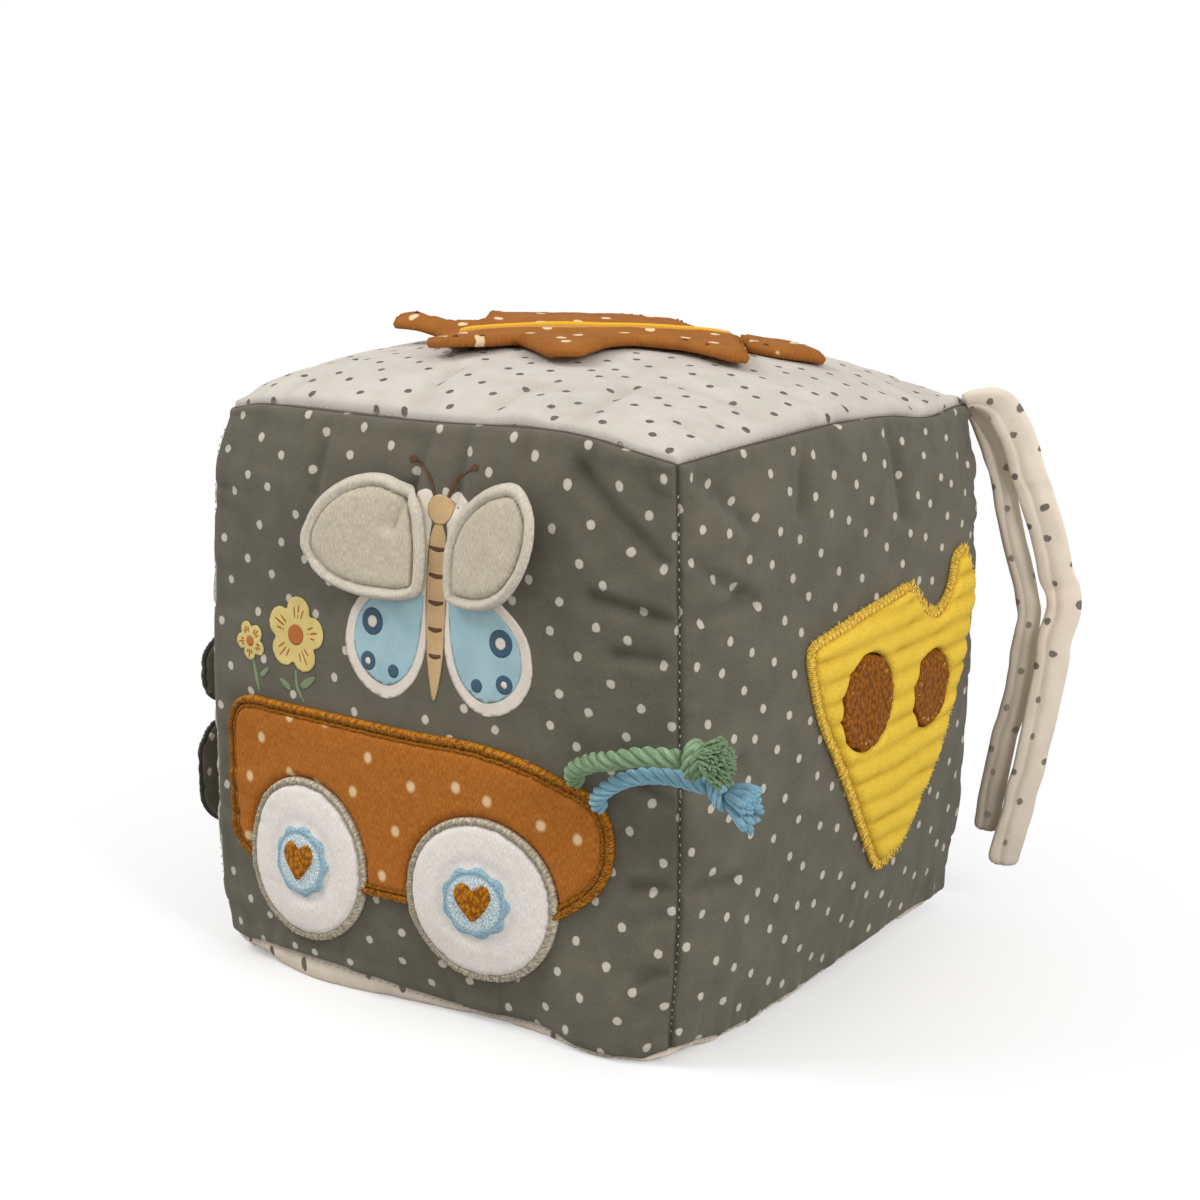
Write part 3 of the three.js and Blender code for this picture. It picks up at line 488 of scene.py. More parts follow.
def valueNoise(x, y, seed):
    # random heights from -1 to 1 on a lattice of unit squares, joined smoothly
    table = np.random.default_rng(seed).uniform(-1, 1, (64, 64))
    i, j = np.floor(x).astype(int), np.floor(y).astype(int)
    s, t = x - i, y - j
    s, t = s * s * (3 - 2 * s), t * t * (3 - 2 * t)
    low = table[i % 64, j % 64] * (1 - s) + table[(i + 1) % 64, j % 64] * s
    high = table[i % 64, (j + 1) % 64] * (1 - s) + table[(i + 1) % 64, (j + 1) % 64] * s
    return low * (1 - t) + high * t


def fadeIn(gap, reach):
    # 0 on a line, and close to 1 a few times the reach away from it
    return 1 - np.exp(-np.abs(gap) / reach)


def bell(gap, width):
    # 1 on a line, falling smoothly to 0 on both sides of it
    return np.exp(-(gap / width) ** 2)


# Soft folds: the face, both ends as places on the face, the width and the depth
cloth = {
    "gather": 0.72, "gatherWidth": 6.4, "gatherLength": 24, "gatherReach": 15, "seamClear": 1.4,
    "cornerClear": 3, "crease": 0.8, "creaseWidth": 0.26, "border": 6,
    "lump": 0.75, "lumpWidth": 31, "smallLump": 0.4, "smallWidth": 13, "foldDepth": 1.8, "foldWidth": 0.62,
    "folds": [
        ("front", (2, 67), (-6, 48), 3.0, 1.1),
        ("front", (12, 67), (10, 52), 2.6, 1.0),
        ("front", (-30, 67), (-33, 50), 3.0, 0.8),
        ("front", (44, 62), (66, 46), 3.6, 1.7),
        ("front", (48, 36), (68, 33), 3.0, 1.4),
        ("front", (54, 24), (69, 24), 2.6, 1.2),
        ("front", (60, -6), (69, -8), 3.0, 1.2),
        ("front", (58, -30), (69, -27), 3.0, 1.2),
        ("front", (62, -50), (69, -47), 2.6, 1.0),
        ("right", (-69, 48), (-44, 34), 3.4, 1.3),
        ("right", (-69, 33), (-48, 35), 3.0, 1.3),
        ("right", (-69, -6), (-50, -2), 3.2, 1.1),
        ("right", (-69, -28), (-52, -30), 3.0, 1.1),
        ("right", (-64, 66), (-46, 52), 3.6, 1.0),
        ("right", (20, 66), (24, 44), 4.0, 1.0),
        ("right", (-20, 67), (-24, 52), 3.6, 0.8),
        ("top", (-8, -67), (-12, -44), 3.4, 1.0),
        ("top", (14, -67), (16, -48), 3.4, 0.9),
        ("top", (-50, -66), (-46, -40), 4.0, 0.8),
        ("top", (40, -66), (34, -38), 4.0, 0.8),
        ("top", (66, -30), (40, -26), 4.0, 0.7),
        ("left", (-60, 30), (-30, 44), 4.0, 0.8),
        ("back", (-50, -60), (-30, -30), 4.5, 0.8),
        ("back", (46, 60), (30, 28), 4.5, 0.8),
    ],
}


def relief(faceName, u, v):
    # puckers across each seam, broad lumps, and the soft folds; all are 0 on the seams
    face, half = faces[faceName], body["half"]
    x, y = half * u, half * v
    height = np.zeros_like(x)
    sides = ((x, half - y), (x, half + y), (y, half - x), (y, half + x))
    for number, (run, gap) in enumerate(sides):
        seed = face["seed"] * 10 + number
        pucker = valueNoise(run / cloth["gatherWidth"] + 20, gap / cloth["gatherLength"] + 9, seed)
        close = fadeIn(gap, cloth["seamClear"]) * np.exp(-np.abs(gap) / cloth["gatherReach"])
        crease = cloth["crease"] * bell(pucker, cloth["creaseWidth"])
        corner = fadeIn(half - np.abs(run), cloth["cornerClear"])
        height += (cloth["gather"] * pucker - crease) * close * corner
    window = fadeIn(half - np.abs(x), cloth["border"]) * fadeIn(half - np.abs(y), cloth["border"])
    lumps = valueNoise(x / cloth["lumpWidth"] + 20, y / cloth["lumpWidth"] + 20, face["seed"])
    small = valueNoise(x / cloth["smallWidth"] + 20, y / cloth["smallWidth"] + 20, face["seed"] + 40)
    height += cloth["lump"] * (lumps + cloth["smallLump"] * small) * window
    for name, start, end, width, depth in cloth["folds"]:
        if name == faceName:
            way = np.subtract(end, start)
            share = ((x - start[0]) * way[0] + (y - start[1]) * way[1]) / (way @ way)
            near = np.clip(share, 0, 1)
            away = np.hypot(x - start[0] - near * way[0], y - start[1] - near * way[1])
            height -= cloth["foldDepth"] * depth * bell(away, cloth["foldWidth"] * width) * window
    return height


def facePoint(faceName, u, v):
    face = faces[faceName]
    q = np.zeros(u.shape + (3,))
    q[..., face["normal"]] = face["sign"]
    q[..., face["across"]] = u
    q[..., face["up"]] = v
    return pillow(q)


def overFace(faceName, across, up, level):
    # the point at a place on a face, so many millimetres above its cloth
    face, half = faces[faceName], body["half"]
    across, up, level = np.broadcast_arrays(across, up, level)
    q = np.zeros(across.shape + (3,))
    q[..., face["normal"]] = face["sign"] * (1 + level / half)
    place = pillow(q)
    for _ in range(body["passes"]):
        q[..., face["across"]] += (across - place[..., face["across"]]) / half
        q[..., face["up"]] += (up - place[..., face["up"]]) / half
        place = pillow(q)
    wrinkle = relief(faceName, q[..., face["across"]], q[..., face["up"]])
    place[..., face["normal"]] += face["sign"] * wrinkle
    return place


def gridFaces(rows, columns, loopRows=False, loopColumns=False, first=0):
    # the quads between points that are counted row by row
    r, c = np.meshgrid(
        np.arange(rows if loopRows else rows - 1),
        np.arange(columns if loopColumns else columns - 1),
        indexing="ij",
    )
    below, beside = (r + 1) % rows, (c + 1) % columns
    quads = [r * columns + c, r * columns + beside, below * columns + beside, below * columns + c]
    return first + np.stack(quads, -1).reshape(-1, 4)


def volumeOf(points, quads):
    a, b, c, d = (points[quads[:, k]] for k in range(4))
    return np.einsum("ij,ij->", a, np.cross(b, c)) + np.einsum("ij,ij->", a, np.cross(c, d))


def makePiece(name, points, quads, material, rides, slot, flat=None, marks=None, fans=(), closed=True):
    # in millimetres; flat and marks have a row for each point, and fans are faces of many corners
    if closed and volumeOf(points, quads) < 0:
        quads = quads[:, ::-1]
        fans = [fan[::-1] for fan in fans]
    mesh = bpy.data.meshes.new(name)
    mesh.from_pydata((points * mm).tolist(), [], quads.tolist() + [list(fan) for fan in fans])
    if flat is not None:
        corners = np.empty(len(mesh.loops), dtype=np.int32)
        mesh.loops.foreach_get("vertex_index", corners)
        mesh.uv_layers.new(name="cloth").data.foreach_set("uv", flat[corners].astype(np.float32).ravel())
    for mark, values in (marks or {}).items():
        mesh.attributes.new(mark, "FLOAT", "POINT").data.foreach_set("value", values.astype(np.float32))
    mesh.polygons.foreach_set("use_smooth", np.ones(len(mesh.polygons), dtype=bool))
    mesh.materials.append(material)
    mesh.update()
    piece = bpy.data.objects.new(name, mesh)
    bpy.context.collection.objects.link(piece)
    if rides is not None:
        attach(piece, rides)
    return piece


def unit(vectors):
    return vectors / np.linalg.norm(vectors, axis=-1, keepdims=True)


def evenly(path, step, closed):
    # the same line with points at even steps
    path = np.asarray(path, dtype=float)
    line = np.vstack([path, path[:1]]) if closed else path
    run = np.concatenate([[0], np.cumsum(np.linalg.norm(np.diff(line, axis=0), axis=1))])
    count = max(8, int(round(run[-1] / step)))
    places = np.linspace(0, run[-1], count + 1)
    if closed:
        places = places[:-1]
    return np.stack([np.interp(places, run, line[:, k]) for k in range(line.shape[1])], -1)


def smoothCurve(points, closed=False, cuts=16):
    # a centripetal Catmull-Rom curve through the points
    p = np.asarray(points, dtype=float)
    p = np.vstack([p[-1:], p, p[:2]]) if closed else np.vstack([2 * p[:1] - p[1:2], p, 2 * p[-1:] - p[-2:-1]])
    knots = np.concatenate([[0], np.cumsum(np.linalg.norm(np.diff(p, axis=0), axis=1) ** 0.5)])
    k = [knots[i:len(knots) - 3 + i, None, None] for i in range(4)]
    c = [p[i:len(p) - 3 + i, None, :] for i in range(4)]
    t = k[1] + (k[2] - k[1]) * np.linspace(0, 1, cuts, endpoint=False)[None, :, None]
    lerp = lambda a, b, low, high: ((high - t) * a + (t - low) * b) / (high - low)
    first = [lerp(c[i], c[i + 1], k[i], k[i + 1]) for i in range(3)]
    second = [lerp(first[i], first[i + 1], k[i], k[i + 2]) for i in range(2)]
    curve = lerp(second[0], second[1], k[1], k[2]).reshape(-1, p.shape[1])
    return curve if closed else np.vstack([curve, p[-2:-1]])


def loopThrough(points, step=1.0):
    return evenly(smoothCurve(points, True), step, True)


def roundedOutline(corners, cuts=9):
    # straight sides whose corners are rounded with a parabola, from (x, y, radius)
    corners = np.asarray(corners, dtype=float)
    here, radius = corners[:, :2], corners[:, 2]
    back, ahead = np.roll(here, 1, 0) - here, np.roll(here, -1, 0) - here
    backLong, aheadLong = np.linalg.norm(back, axis=1), np.linalg.norm(ahead, axis=1)
    reach = np.minimum(radius, 0.45 * np.minimum(backLong, aheadLong))
    start = here + back * (reach / backLong)[:, None]
    end = here + ahead * (reach / aheadLong)[:, None]
    t = np.linspace(0, 1, cuts)[None, :, None]
    arc = (1 - t) ** 2 * start[:, None] + 2 * t * (1 - t) * here[:, None] + t ** 2 * end[:, None]
    return arc.reshape(-1, 2)


def ringOutline(centre, size, count=72, ripple=0.0, waves=0):
    angle = np.arange(count) * 2 * np.pi / count
    reach = 1 - ripple * (1 - np.cos(waves * angle))
    ring = np.stack([reach * np.cos(angle), reach * np.sin(angle)], -1)
    return np.array(centre) + ring * np.array(size) / 2


def sideGap(outline, points):
    # how far each point lies inside an outline, below 0 outside, and the nearest place on it
    start, end = outline, np.roll(outline, -1, 0)
    side = end - start
    offset = points[:, None] - start[None]
    share = np.clip((offset * side).sum(-1) / np.maximum((side ** 2).sum(-1), 1e-12), 0, 1)
    nearest = start + share[..., None] * side
    gap = np.linalg.norm(points[:, None] - nearest, axis=-1)
    best = gap.argmin(1)
    rows = np.arange(len(points))
    x, y = points[:, :1], points[:, 1:]
    rise = np.where(side[:, 1] == 0, 1e-12, side[:, 1])
    crossing = start[:, 0] + (y - start[:, 1]) * side[:, 0] / rise
    passes = ((start[:, 1] > y) != (end[:, 1] > y)) & (x < crossing)
    inside = np.where(passes.sum(1) % 2 == 1, 1.0, -1.0)
    return inside * gap[rows, best], nearest[rows, best]


def cutGrid(outline, cell, holes=(), inset=0.0):
    # a grid of squares cut to an outline: the corners near a side are moved onto it
    low, high = outline.min(0) - 1.5 * cell, outline.max(0) + 1.5 * cell
    x, y = np.meshgrid(np.arange(low[0], high[0], cell), np.arange(low[1], high[1], cell))
    points = np.stack([x.ravel(), y.ravel()], -1)
    depth, nearest = sideGap(outline, points)
    for hole in holes:
        holeDepth, holeNearest = sideGap(hole, points)
        closer = -holeDepth < depth
        depth = np.where(closer, -holeDepth, depth)
        nearest = np.where(closer[:, None], holeNearest, nearest)
    inwards = (points - nearest) / np.where(np.abs(depth) < 1e-6, 1e-6, depth)[:, None]
    edge = nearest + inset * inwards
    depth = depth - inset
    inner = depth > 0.4 * cell
    quads = gridFaces(*x.shape)
    quads = quads[inner[quads].any(1)]
    points = np.where(inner[:, None], points, edge)
    depth = np.where(inner, depth, 0.0)
    used = np.unique(quads)
    place = np.full(len(points), -1)
    place[used] = np.arange(len(used))
    return points[used], depth[used], place[quads]


def twoSided(depth, quads):
    # the back of a piece shares the points on its rim: which others it has, and all the faces
    free = depth != 0
    behind = np.where(free, len(depth) + np.cumsum(free) - 1, np.arange(len(depth)))
    return free, np.vstack([quads, behind[quads][:, ::-1]])


def patch(name, faceName, outline, cell, front, back, material, rides, slot, holes=(), inset=0.0, marks=None):
    # a closed piece sewn on a face: front and back are its levels over the cloth, given
    # places and the distance to its edge, where both sides meet
    points, depth, quads = cutGrid(outline, cell, holes, inset)
    across, up = points.T
    free, quads = twoSided(depth, quads)
    frontPlace = overFace(faceName, across, up, front(across, up, depth))
    backPlace = overFace(faceName, across, up, back(across, up, depth))
    place = np.vstack([frontPlace, backPlace[free]])
    flat = np.vstack([points, points[free]]) / 100
    rows = {}
    for mark, rule in (marks or {}).items():
        values = rule(across, up)
        rows[mark] = np.concatenate([values, values[free]])
    return makePiece(name, place, quads, material, rides, slot, flat, rows)


def roundEdge(depth, reach):
    # rises from 0 at the edge to 1 at its reach, as a quarter circle does
    return np.sqrt(1 - (1 - np.clip(depth / reach, 0, 1)) ** 2)


def pathNormals(path, closed):
    if closed:
        ahead = np.roll(path, -1, 0) - np.roll(path, 1, 0)
    else:
        ahead = np.gradient(path, axis=0)
    ahead = unit(ahead)
    return np.stack([-ahead[:, 1], ahead[:, 0]], -1)


def loopArea(path):
    # positive where the path runs anticlockwise
    x, y = path.T
    return np.sum(x * np.roll(y, -1) - np.roll(x, -1) * y) / 2


def inwardNormals(path):
    return pathNormals(path, True) * (1 if loopArea(path) > 0 else -1)


def ridge(name, faceName, outline, look, material, rides, slot, hidden=None):
    # a raised band of satin stitches along an outline: a half round profile carried along it,
    # with a groove between threads; the runs inside a hidden circle are left out
    step = look["pitch"] / 3
    path = evenly(outline, step, True)
    side = inwardNormals(path)
    path = path + side * (look["inset"] + look["width"] / 2)
    shown = np.ones(len(path), dtype=bool)
    for centre, radius in hidden or ():
        shown &= np.hypot(*(path - centre).T) > radius
    if not shown.all():
        first = int(np.argmin(shown))
        path, side, shown = (np.roll(a, -first, 0) for a in (path, side, shown))
    run = np.arange(len(path)) * step
    angle = np.linspace(0, np.pi, look["sides"])
    across = np.cos(angle) * look["width"] / 2
    lift = np.sin(angle) ** look["fullness"] * look["height"]
    slant = run[:, None] + look["slant"] * across[None]
    groove = 1 - look["groove"] * (0.5 - 0.5 * np.cos(2 * np.pi * slant / look["pitch"]))
    rough = 1 + look["uneven"] * valueNoise(slant / 1.1, 3.3, 77)
    starts = np.flatnonzero(shown & ~np.roll(shown, 1)) if not shown.all() else [0]
    pieces = []
    for start in starts:
        stop = start + int(np.argmin(shown[start:])) if not shown[start:].all() else len(path)
        if stop - start < 9:
            continue
        rows = np.arange(start, stop)
        end = np.minimum(rows - start, stop - 1 - rows) * step
        taper = np.ones(len(rows)) if shown.all() else roundEdge(end, 0.8)
        spread = path[rows, None] + side[rows, None] * across[None, :, None] * taper[:, None, None]
        level = look["base"] + (lift[None] * groove[rows] * rough[rows]) * taper[:, None]
        place = overFace(faceName, spread[..., 0], spread[..., 1], level)
        count = len(angle)
        last = len(rows) * count
        quads = gridFaces(len(rows), count, shown.all(), True)
        flat = np.stack(np.broadcast_arrays(run[rows, None] / 100, (across[None] + 5) / 100), -1)
        # inner is 1 on the inner flank, where the satin's painted shade goes
        inner = np.broadcast_to((1 + np.cos(angle))[None] / 2, level.shape)
        fans = [] if shown.all() else [list(range(count))[::-1], list(range(last - count, last))]
        label = name if len(starts) == 1 else f"{name}{len(pieces) + 1}"
        pieces.append(makePiece(
            label, place.reshape(-1, 3), quads, material, rides, slot,
            flat.reshape(-1, 2), {"inner": inner.ravel()}, fans,
        ))
    return pieces


def sweep(path, side, section, twist=None):
    # a section carried along a path in space; side is the direction that its first axis keeps
    ahead = unit(np.gradient(path, axis=0))
    second = unit(np.cross(ahead, side))
    first = np.cross(second, ahead)
    x, y = section[..., 0], section[..., 1]
    if twist is not None:
        turnCos, turnSin = np.cos(twist)[:, None], np.sin(twist)[:, None]
        x, y = x * turnCos - y * turnSin, x * turnSin + y * turnCos
    return path[:, None] + first[:, None] * x[..., None] + second[:, None] * y[..., None]


def tubePiece(name, rings, material, rides, slot, flat, marks=None):
    count, sides = rings.shape[:2]
    fans = [list(range(sides))[::-1], list(range((count - 1) * sides, count * sides))]
    return makePiece(
        name, rings.reshape(-1, 3), gridFaces(count, sides, False, True), material, rides, slot,
        flat.reshape(-1, 2), marks, fans,
    )


def bundle(middle, first, second, sides):
    # rings of points round many lines at once; first and second are the half axes of each ring
    angle = np.arange(sides) * 2 * np.pi / sides
    ring = middle[:, :, None] + first[:, :, None] * np.cos(angle)[:, None]
    ring = ring + second[:, :, None] * np.sin(angle)[:, None]
    count, rings = middle.shape[:2]
    size = rings * sides
    starts = np.arange(count) * size
    quads = (gridFaces(rings, sides, False, True)[None] + starts[:, None, None]).reshape(-1, 4)
    caps = [list(range(start, start + sides))[::-1] for start in starts]
    caps += [list(range(start + size - sides, start + size)) for start in starts]
    return ring, quads, caps


def threads(name, starts, ends, lift, radius, material, rides, slot, rings=6, sides=5):
    # many short threads at once: each runs from its start to its end over an arch
    starts, ends, lift = (np.asarray(a, dtype=float) for a in (starts, ends, lift))
    t = np.linspace(0, 1, rings)[None, :, None]
    middle = starts[:, None] * (1 - t) + ends[:, None] * t + lift[:, None] * 4 * t * (1 - t)
    ahead = unit(np.gradient(middle, axis=1))
    side = unit(np.cross(ahead, unit(lift)[:, None]))
    full = radius * np.sqrt(np.maximum(0.12, 1 - (2 * t - 1) ** 6))
    ring, quads, caps = bundle(middle, full * side, full * np.cross(side, ahead), sides)
    return makePiece(name, ring.reshape(-1, 3), quads, material, rides, slot, fans=caps)


print("surface tools ready")


# Cords: the routes are points in space, from the wagon's edge to the knot

ropeStep = 0.32
greenCord = {
    "root": (46.2, -74.6, 66.6),
    "route": [(48.6, -79.1, 70.4), (56, -83, 74.8), (64, -86, 77.5), (73.5, -86.4, 80.2), (83.6, -85.2, 81)],
    "diameter": 4.8, "lay": 14.6, "body": "green_cord", "slot": "green_yarn",
    "knotCentre": (86.8, -84.9, 81.1), "knotReach": (2.3, 3.3), "knotStrand": 1.75, "knotTurns": 1.6,
    "knotAdvance": 2.3, "knotTilt": -12,
    "brushStart": (88.5, -84.9, 81.6), "brushWay": (0.93, -0.2, 0.16), "brushWide": 0.6, "brushTall": 0.72,
    "brushLong": 8.4, "strands": 210, "strand": 0.38, "droop": 0.6, "seed": 5,
}
blueCord = {
    "root": (52.6, -74.2, 61.2),
    "route": [(54.6, -77.9, 65), (60, -79.6, 69.4), (66.5, -80.2, 72.6), (75.5, -80, 74.4),
              (86.2, -79.4, 73.7)],
    "diameter": 4.2, "lay": 13.2, "body": "blue_cord", "slot": "blue_yarn",
    "knotCentre": (89.9, -79.2, 73.0), "knotReach": (2.1, 3.0), "knotStrand": 1.6, "knotTurns": 1.5,
    "knotAdvance": 2.0, "knotTilt": 18,
    "brushStart": (91.5, -79.3, 72.4), "brushWay": (0.95, -0.12, -0.24), "brushWide": 0.4, "brushTall": 0.62,
    "brushLong": 10.5, "strands": 26, "strand": 0.85, "droop": 0.5, "seed": 8,
}


def ropeSection(angle, radius, strands=4):
    # the outline of round strands that lie against each other, and how near each angle is to a crevice
    # between them, where the yarn's painted shade goes
    strandRadius, offset = 0.46 * radius, 0.54 * radius
    turn = 2 * np.pi / strands
    lean = (angle + turn / 2) % turn - turn / 2
    inside = np.maximum(strandRadius ** 2 - (offset * np.sin(lean)) ** 2, (0.2 * radius) ** 2)
    return offset * np.cos(lean) + np.sqrt(inside), np.clip(np.abs(lean) / (turn / 2), 0, 1) ** 5


def rope(name, points, diameter, lay, material, rides, slot, side=(0.0, 0.0, 1.0), sides=42, step=ropeStep):
    path = evenly(points, step, False)
    angle = np.arange(sides) * 2 * np.pi / sides
    reach, creviceShade = ropeSection(angle, diameter / 2)
    run = np.arange(len(path)) * step
    end = np.minimum(run, run[-1] - run)
    full = 0.55 + 0.45 * roundEdge(end, diameter / 3)
    section = np.stack([reach * np.cos(angle), reach * np.sin(angle)], -1)[None] * full[:, None, None]
    rings = sweep(path, np.array(side), section, 2 * np.pi * run / lay)
    flat = np.stack(np.broadcast_arrays((angle * diameter / 2)[None] / 100, run[:, None] / 100), -1)
    # where the yarn's painted shade goes, between the strands
    marks = {"creviceShade": np.tile(creviceShade, len(path))}
    return tubePiece(name, rings, material, rides, slot, flat, marks), path


def knot(name, look, material):
    # a strand wound round the cord in a short coil, tilted a little
    t = np.linspace(0, 2 * np.pi * look["knotTurns"], 90)
    along = look["knotAdvance"] * (t / (2 * np.pi) - look["knotTurns"] / 2)
    wide, tall = look["knotReach"]
    coil = np.stack([along, wide * np.cos(t), tall * np.sin(t)], -1)
    tilt = math.radians(look["knotTilt"])
    cos, sin = math.cos(tilt), math.sin(tilt)
    coil = coil @ np.array([[cos, 0, sin], [0, 1, 0], [-sin, 0, cos]]) + look["knotCentre"]
    wound, _ = rope(
        name, coil, 2 * look["knotStrand"], 9, material, look["body"], look["slot"],
        side=(1.0, 0.0, 0.0), sides=30, step=0.3,
    )
    return wound


def brush(name, look, material):
    # loose yarn ends that fan out of the knot; each bends away from the middle and droops
    rng = np.random.default_rng(look["seed"])
    count, rings, sides = look["strands"], 7, 5
    way = unit(np.array(look["brushWay"]))
    wide = unit(np.cross((0, 0, 1), way))
    tall = np.cross(way, wide)
    angle, reach = rng.uniform(0, 2 * np.pi, count), np.sqrt(rng.uniform(0, 1, count))
    fan = np.outer(reach * np.cos(angle) * look["brushWide"], wide)
    fan += np.outer(reach * np.sin(angle) * look["brushTall"], tall)
    length = look["brushLong"] * rng.uniform(0.86, 1.0, count) / (1 + 0.35 * reach)
    t = np.linspace(0, 1, rings)
    run = length[:, None] * t[None]
    spread = (t ** 0.8)[None, :, None] * fan[:, None] * length[:, None, None]
    root = np.outer(reach * np.cos(angle), wide) * 1.5 + np.outer(reach * np.sin(angle), tall) * 1.8
    wobble = rng.normal(0, 0.18, (count, 1, 3)) * np.sin(3 * t)[None, :, None]
    middle = np.array(look["brushStart"]) + root[:, None] + run[..., None] * way + spread + wobble
    middle[..., 2] -= look["droop"] * t[None] ** 2
    ahead = unit(np.gradient(middle, axis=1))
    side = unit(np.cross(ahead, wide + 0.01))
    thick = look["strand"] * np.interp(t, [0, 0.15, 0.85, 1], [0.8, 1, 1.1, 0.75])[None, :, None]
    ring, quads, fans = bundle(middle, thick * side, thick * np.cross(side, ahead), sides)
    turn = np.arange(sides) * 2 * np.pi / sides
    around = (turn * look["strand"])[None, None] / 100 + rng.uniform(0, 1, count)[:, None, None]
    flat = np.stack(np.broadcast_arrays(around, run[..., None] / 100), -1)
    # painted shade, strongest where the strands leave the knot
    creviceShade = np.interp(t, [0, 0.35, 1], [0.9, 0.2, 0])
    creviceShade = np.broadcast_to(creviceShade[None, :, None], ring.shape[:3])
    return makePiece(
        name, ring.reshape(-1, 3), quads, material, look["body"], look["slot"],
        flat.reshape(-1, 2), {"creviceShade": creviceShade.ravel()}, fans,
    )


def makeCord(label, node, look, material):
    curve = smoothCurve([look["root"], *look["route"]])
    rides, slot = look["body"], look["slot"]
    line, path = rope(label, curve, look["diameter"], look["lay"], material, rides, slot)
    knotPiece = knot(label + "Knot", look, material)
    brushPiece = brush(label + "Brush", look, material)
    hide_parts(node)
    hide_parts(node + "_knot")
    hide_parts(node + "_tassel")


makeCord("greenCord", "cord_green", greenCord, greenYarn)
makeCord("blueCord", "cord_blue", blueCord, blueYarn)


# Ties: folded cloth that hangs from the corner; the routes are distance out and height

ties = {
    "outer": {
        "route": [(-2.2, 139.8), (-0.2, 140.4), (7.2, 138.6), (11.2, 132.2), (14.3, 124.3), (17.4, 116.1),
                  (21, 106.5), (23.8, 95.3), (26.6, 84), (24.8, 76), (22.2, 59.8), (19.4, 43.3), (15.6, 26.8),
                  (12.2, 12)],
        "width": 9.4, "offset": 2.6, "kinks": [(35, 2.5, 0.5), (63, 2.2, 0.8)], "turn": 0.22, "shade": 0.05,
        "seed": 31,
    },
    "inner": {
        "route": [(-1.6, 137.2), (0.7, 136.6), (4.6, 132), (8, 124.6), (10.8, 115.8), (12.6, 106), (15.6, 95),
                  (17.6, 86), (18.6, 77.5), (17.6, 69), (13.8, 49.3), (10.4, 32.6), (8.2, 20.5)],
        "width": 7.0, "offset": -2.6, "kinks": [(62, 3.0, 0.7), (20, 2.5, 0.4)], "turn": -0.3, "shade": 0.5,
        "seed": 32,
    },
    "thickness": 3.4, "rootShare": 0.45, "rootLength": 12, "sides": 56, "step": 0.6, "bend": (2, 12),
    "pinch": 0.35, "wave": 0.35, "wander": 0.45, "crease": 0.55, "creaseAt": 0.35, "creaseWidth": 0.13,
}


def makeTie(side):
    # a flattened tube: its section is a rounded bar with fold lines along it, and it is
    # pinched where the cloth kinks
    look = ties[side]
    corner = pillow(np.ones((1, 3)))[0]
    diagonal, sideways = unit(np.array([1.0, 1.0, 0])), unit(np.array([1.0, -1.0, 0]))
    out, height = np.array(look["route"]).T
    route = corner * (1, 1, 0) + np.outer(height, (0, 0, 1))
    route += np.outer(out, diagonal) + look["offset"] * sideways
    path = evenly(smoothCurve(route), ties["step"], False)
    run = np.arange(len(path)) * ties["step"]
    grown = np.clip(run / ties["rootLength"], 0, 1)
    share = ties["rootShare"] + (1 - ties["rootShare"]) * grown ** 2 * (3 - 2 * grown)
    angle = np.arange(ties["sides"]) * 2 * np.pi / ties["sides"]
    flatCos = np.sign(np.cos(angle)) * np.abs(np.cos(angle)) ** 0.62
    flatSin = np.sign(np.sin(angle)) * np.abs(np.sin(angle)) ** 0.8
    end = run[-1] - run
    half = look["width"] / 2 * share * (0.5 + 0.5 * roundEdge(end, 2.6))
    thick = ties["thickness"] / 2 * (0.25 + 0.75 * roundEdge(end, 1.6))
    bend = np.zeros_like(run)
    for place, width, depth in look["kinks"]:
        near = bell(run - place, width)
        thick = thick * (1 - ties["pinch"] * near)
        bend += depth * near
    x = half[:, None] * flatCos[None]
    wide = x / np.maximum(half[:, None], 1e-6)
    wave = ties["wave"] * valueNoise(run[:, None] / 9 + 5, wide * 1.3 + 4, look["seed"])
    creaseLine = ties["creaseAt"] + 0.25 * valueNoise(run / 14, 1.5, look["seed"] + 1)[:, None]
    crease = bell(wide - creaseLine, ties["creaseWidth"]) * (flatSin[None] > 0)
    wander = ties["wander"] * valueNoise(run[:, None] / 6 + 9, flatSin[None] * 0.5 + 2, look["seed"] + 2)
    y = thick[:, None] * flatSin[None] * (1 - 0.18 * wide ** 2) + wave
    y = y - ties["crease"] * crease * share[:, None]
    x = x + wander - bend[:, None] * 0.4
    twist = look["turn"] * np.sin(run / run[-1] * np.pi * 1.5)
    rings = sweep(path, sideways, np.stack([y, x], -1), twist)
    around = np.cumsum(np.abs(np.diff(np.append(flatCos, flatCos[0])))) * look["width"] / 2
    flat = np.stack(np.broadcast_arrays(around[None] / 100 + look["seed"] * 0.1, run[:, None] / 100), -1)
    # painted shade: darker towards the hanging end, near the root and along the crease, and the inner tie
    # darker all over
    shade = look["shade"] + 0.5 * (run / run[-1]) ** 2 + 0.5 * np.exp(-run / 9)
    shade = np.clip(shade[:, None] + 0.35 * crease, 0, 1)
    piece = tubePiece(side + "Tie", rings, tieCotton, None, "cream_cotton", flat, {"paintedShade": shade.ravel()})
    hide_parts("tie_" + side)
    start, end = (path[int(place / ties["step"])] * mm for place in ties["bend"])
    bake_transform(piece)


for side in ("outer", "inner"):
    makeTie(side)
print("cords and ties made")


# Cube: six panels, joined along seams that pull them in

panels = {
    "cells": 150, "crowding": 0.6, "thickness": 0.8, "seamDepth": 1.15, "seamWidth": 1.0,
    "roll": 0.4, "rollAt": 3.0, "rollWidth": 2.0, "seamShadeWidth": 0.55, "foldShade": 0.3,
}


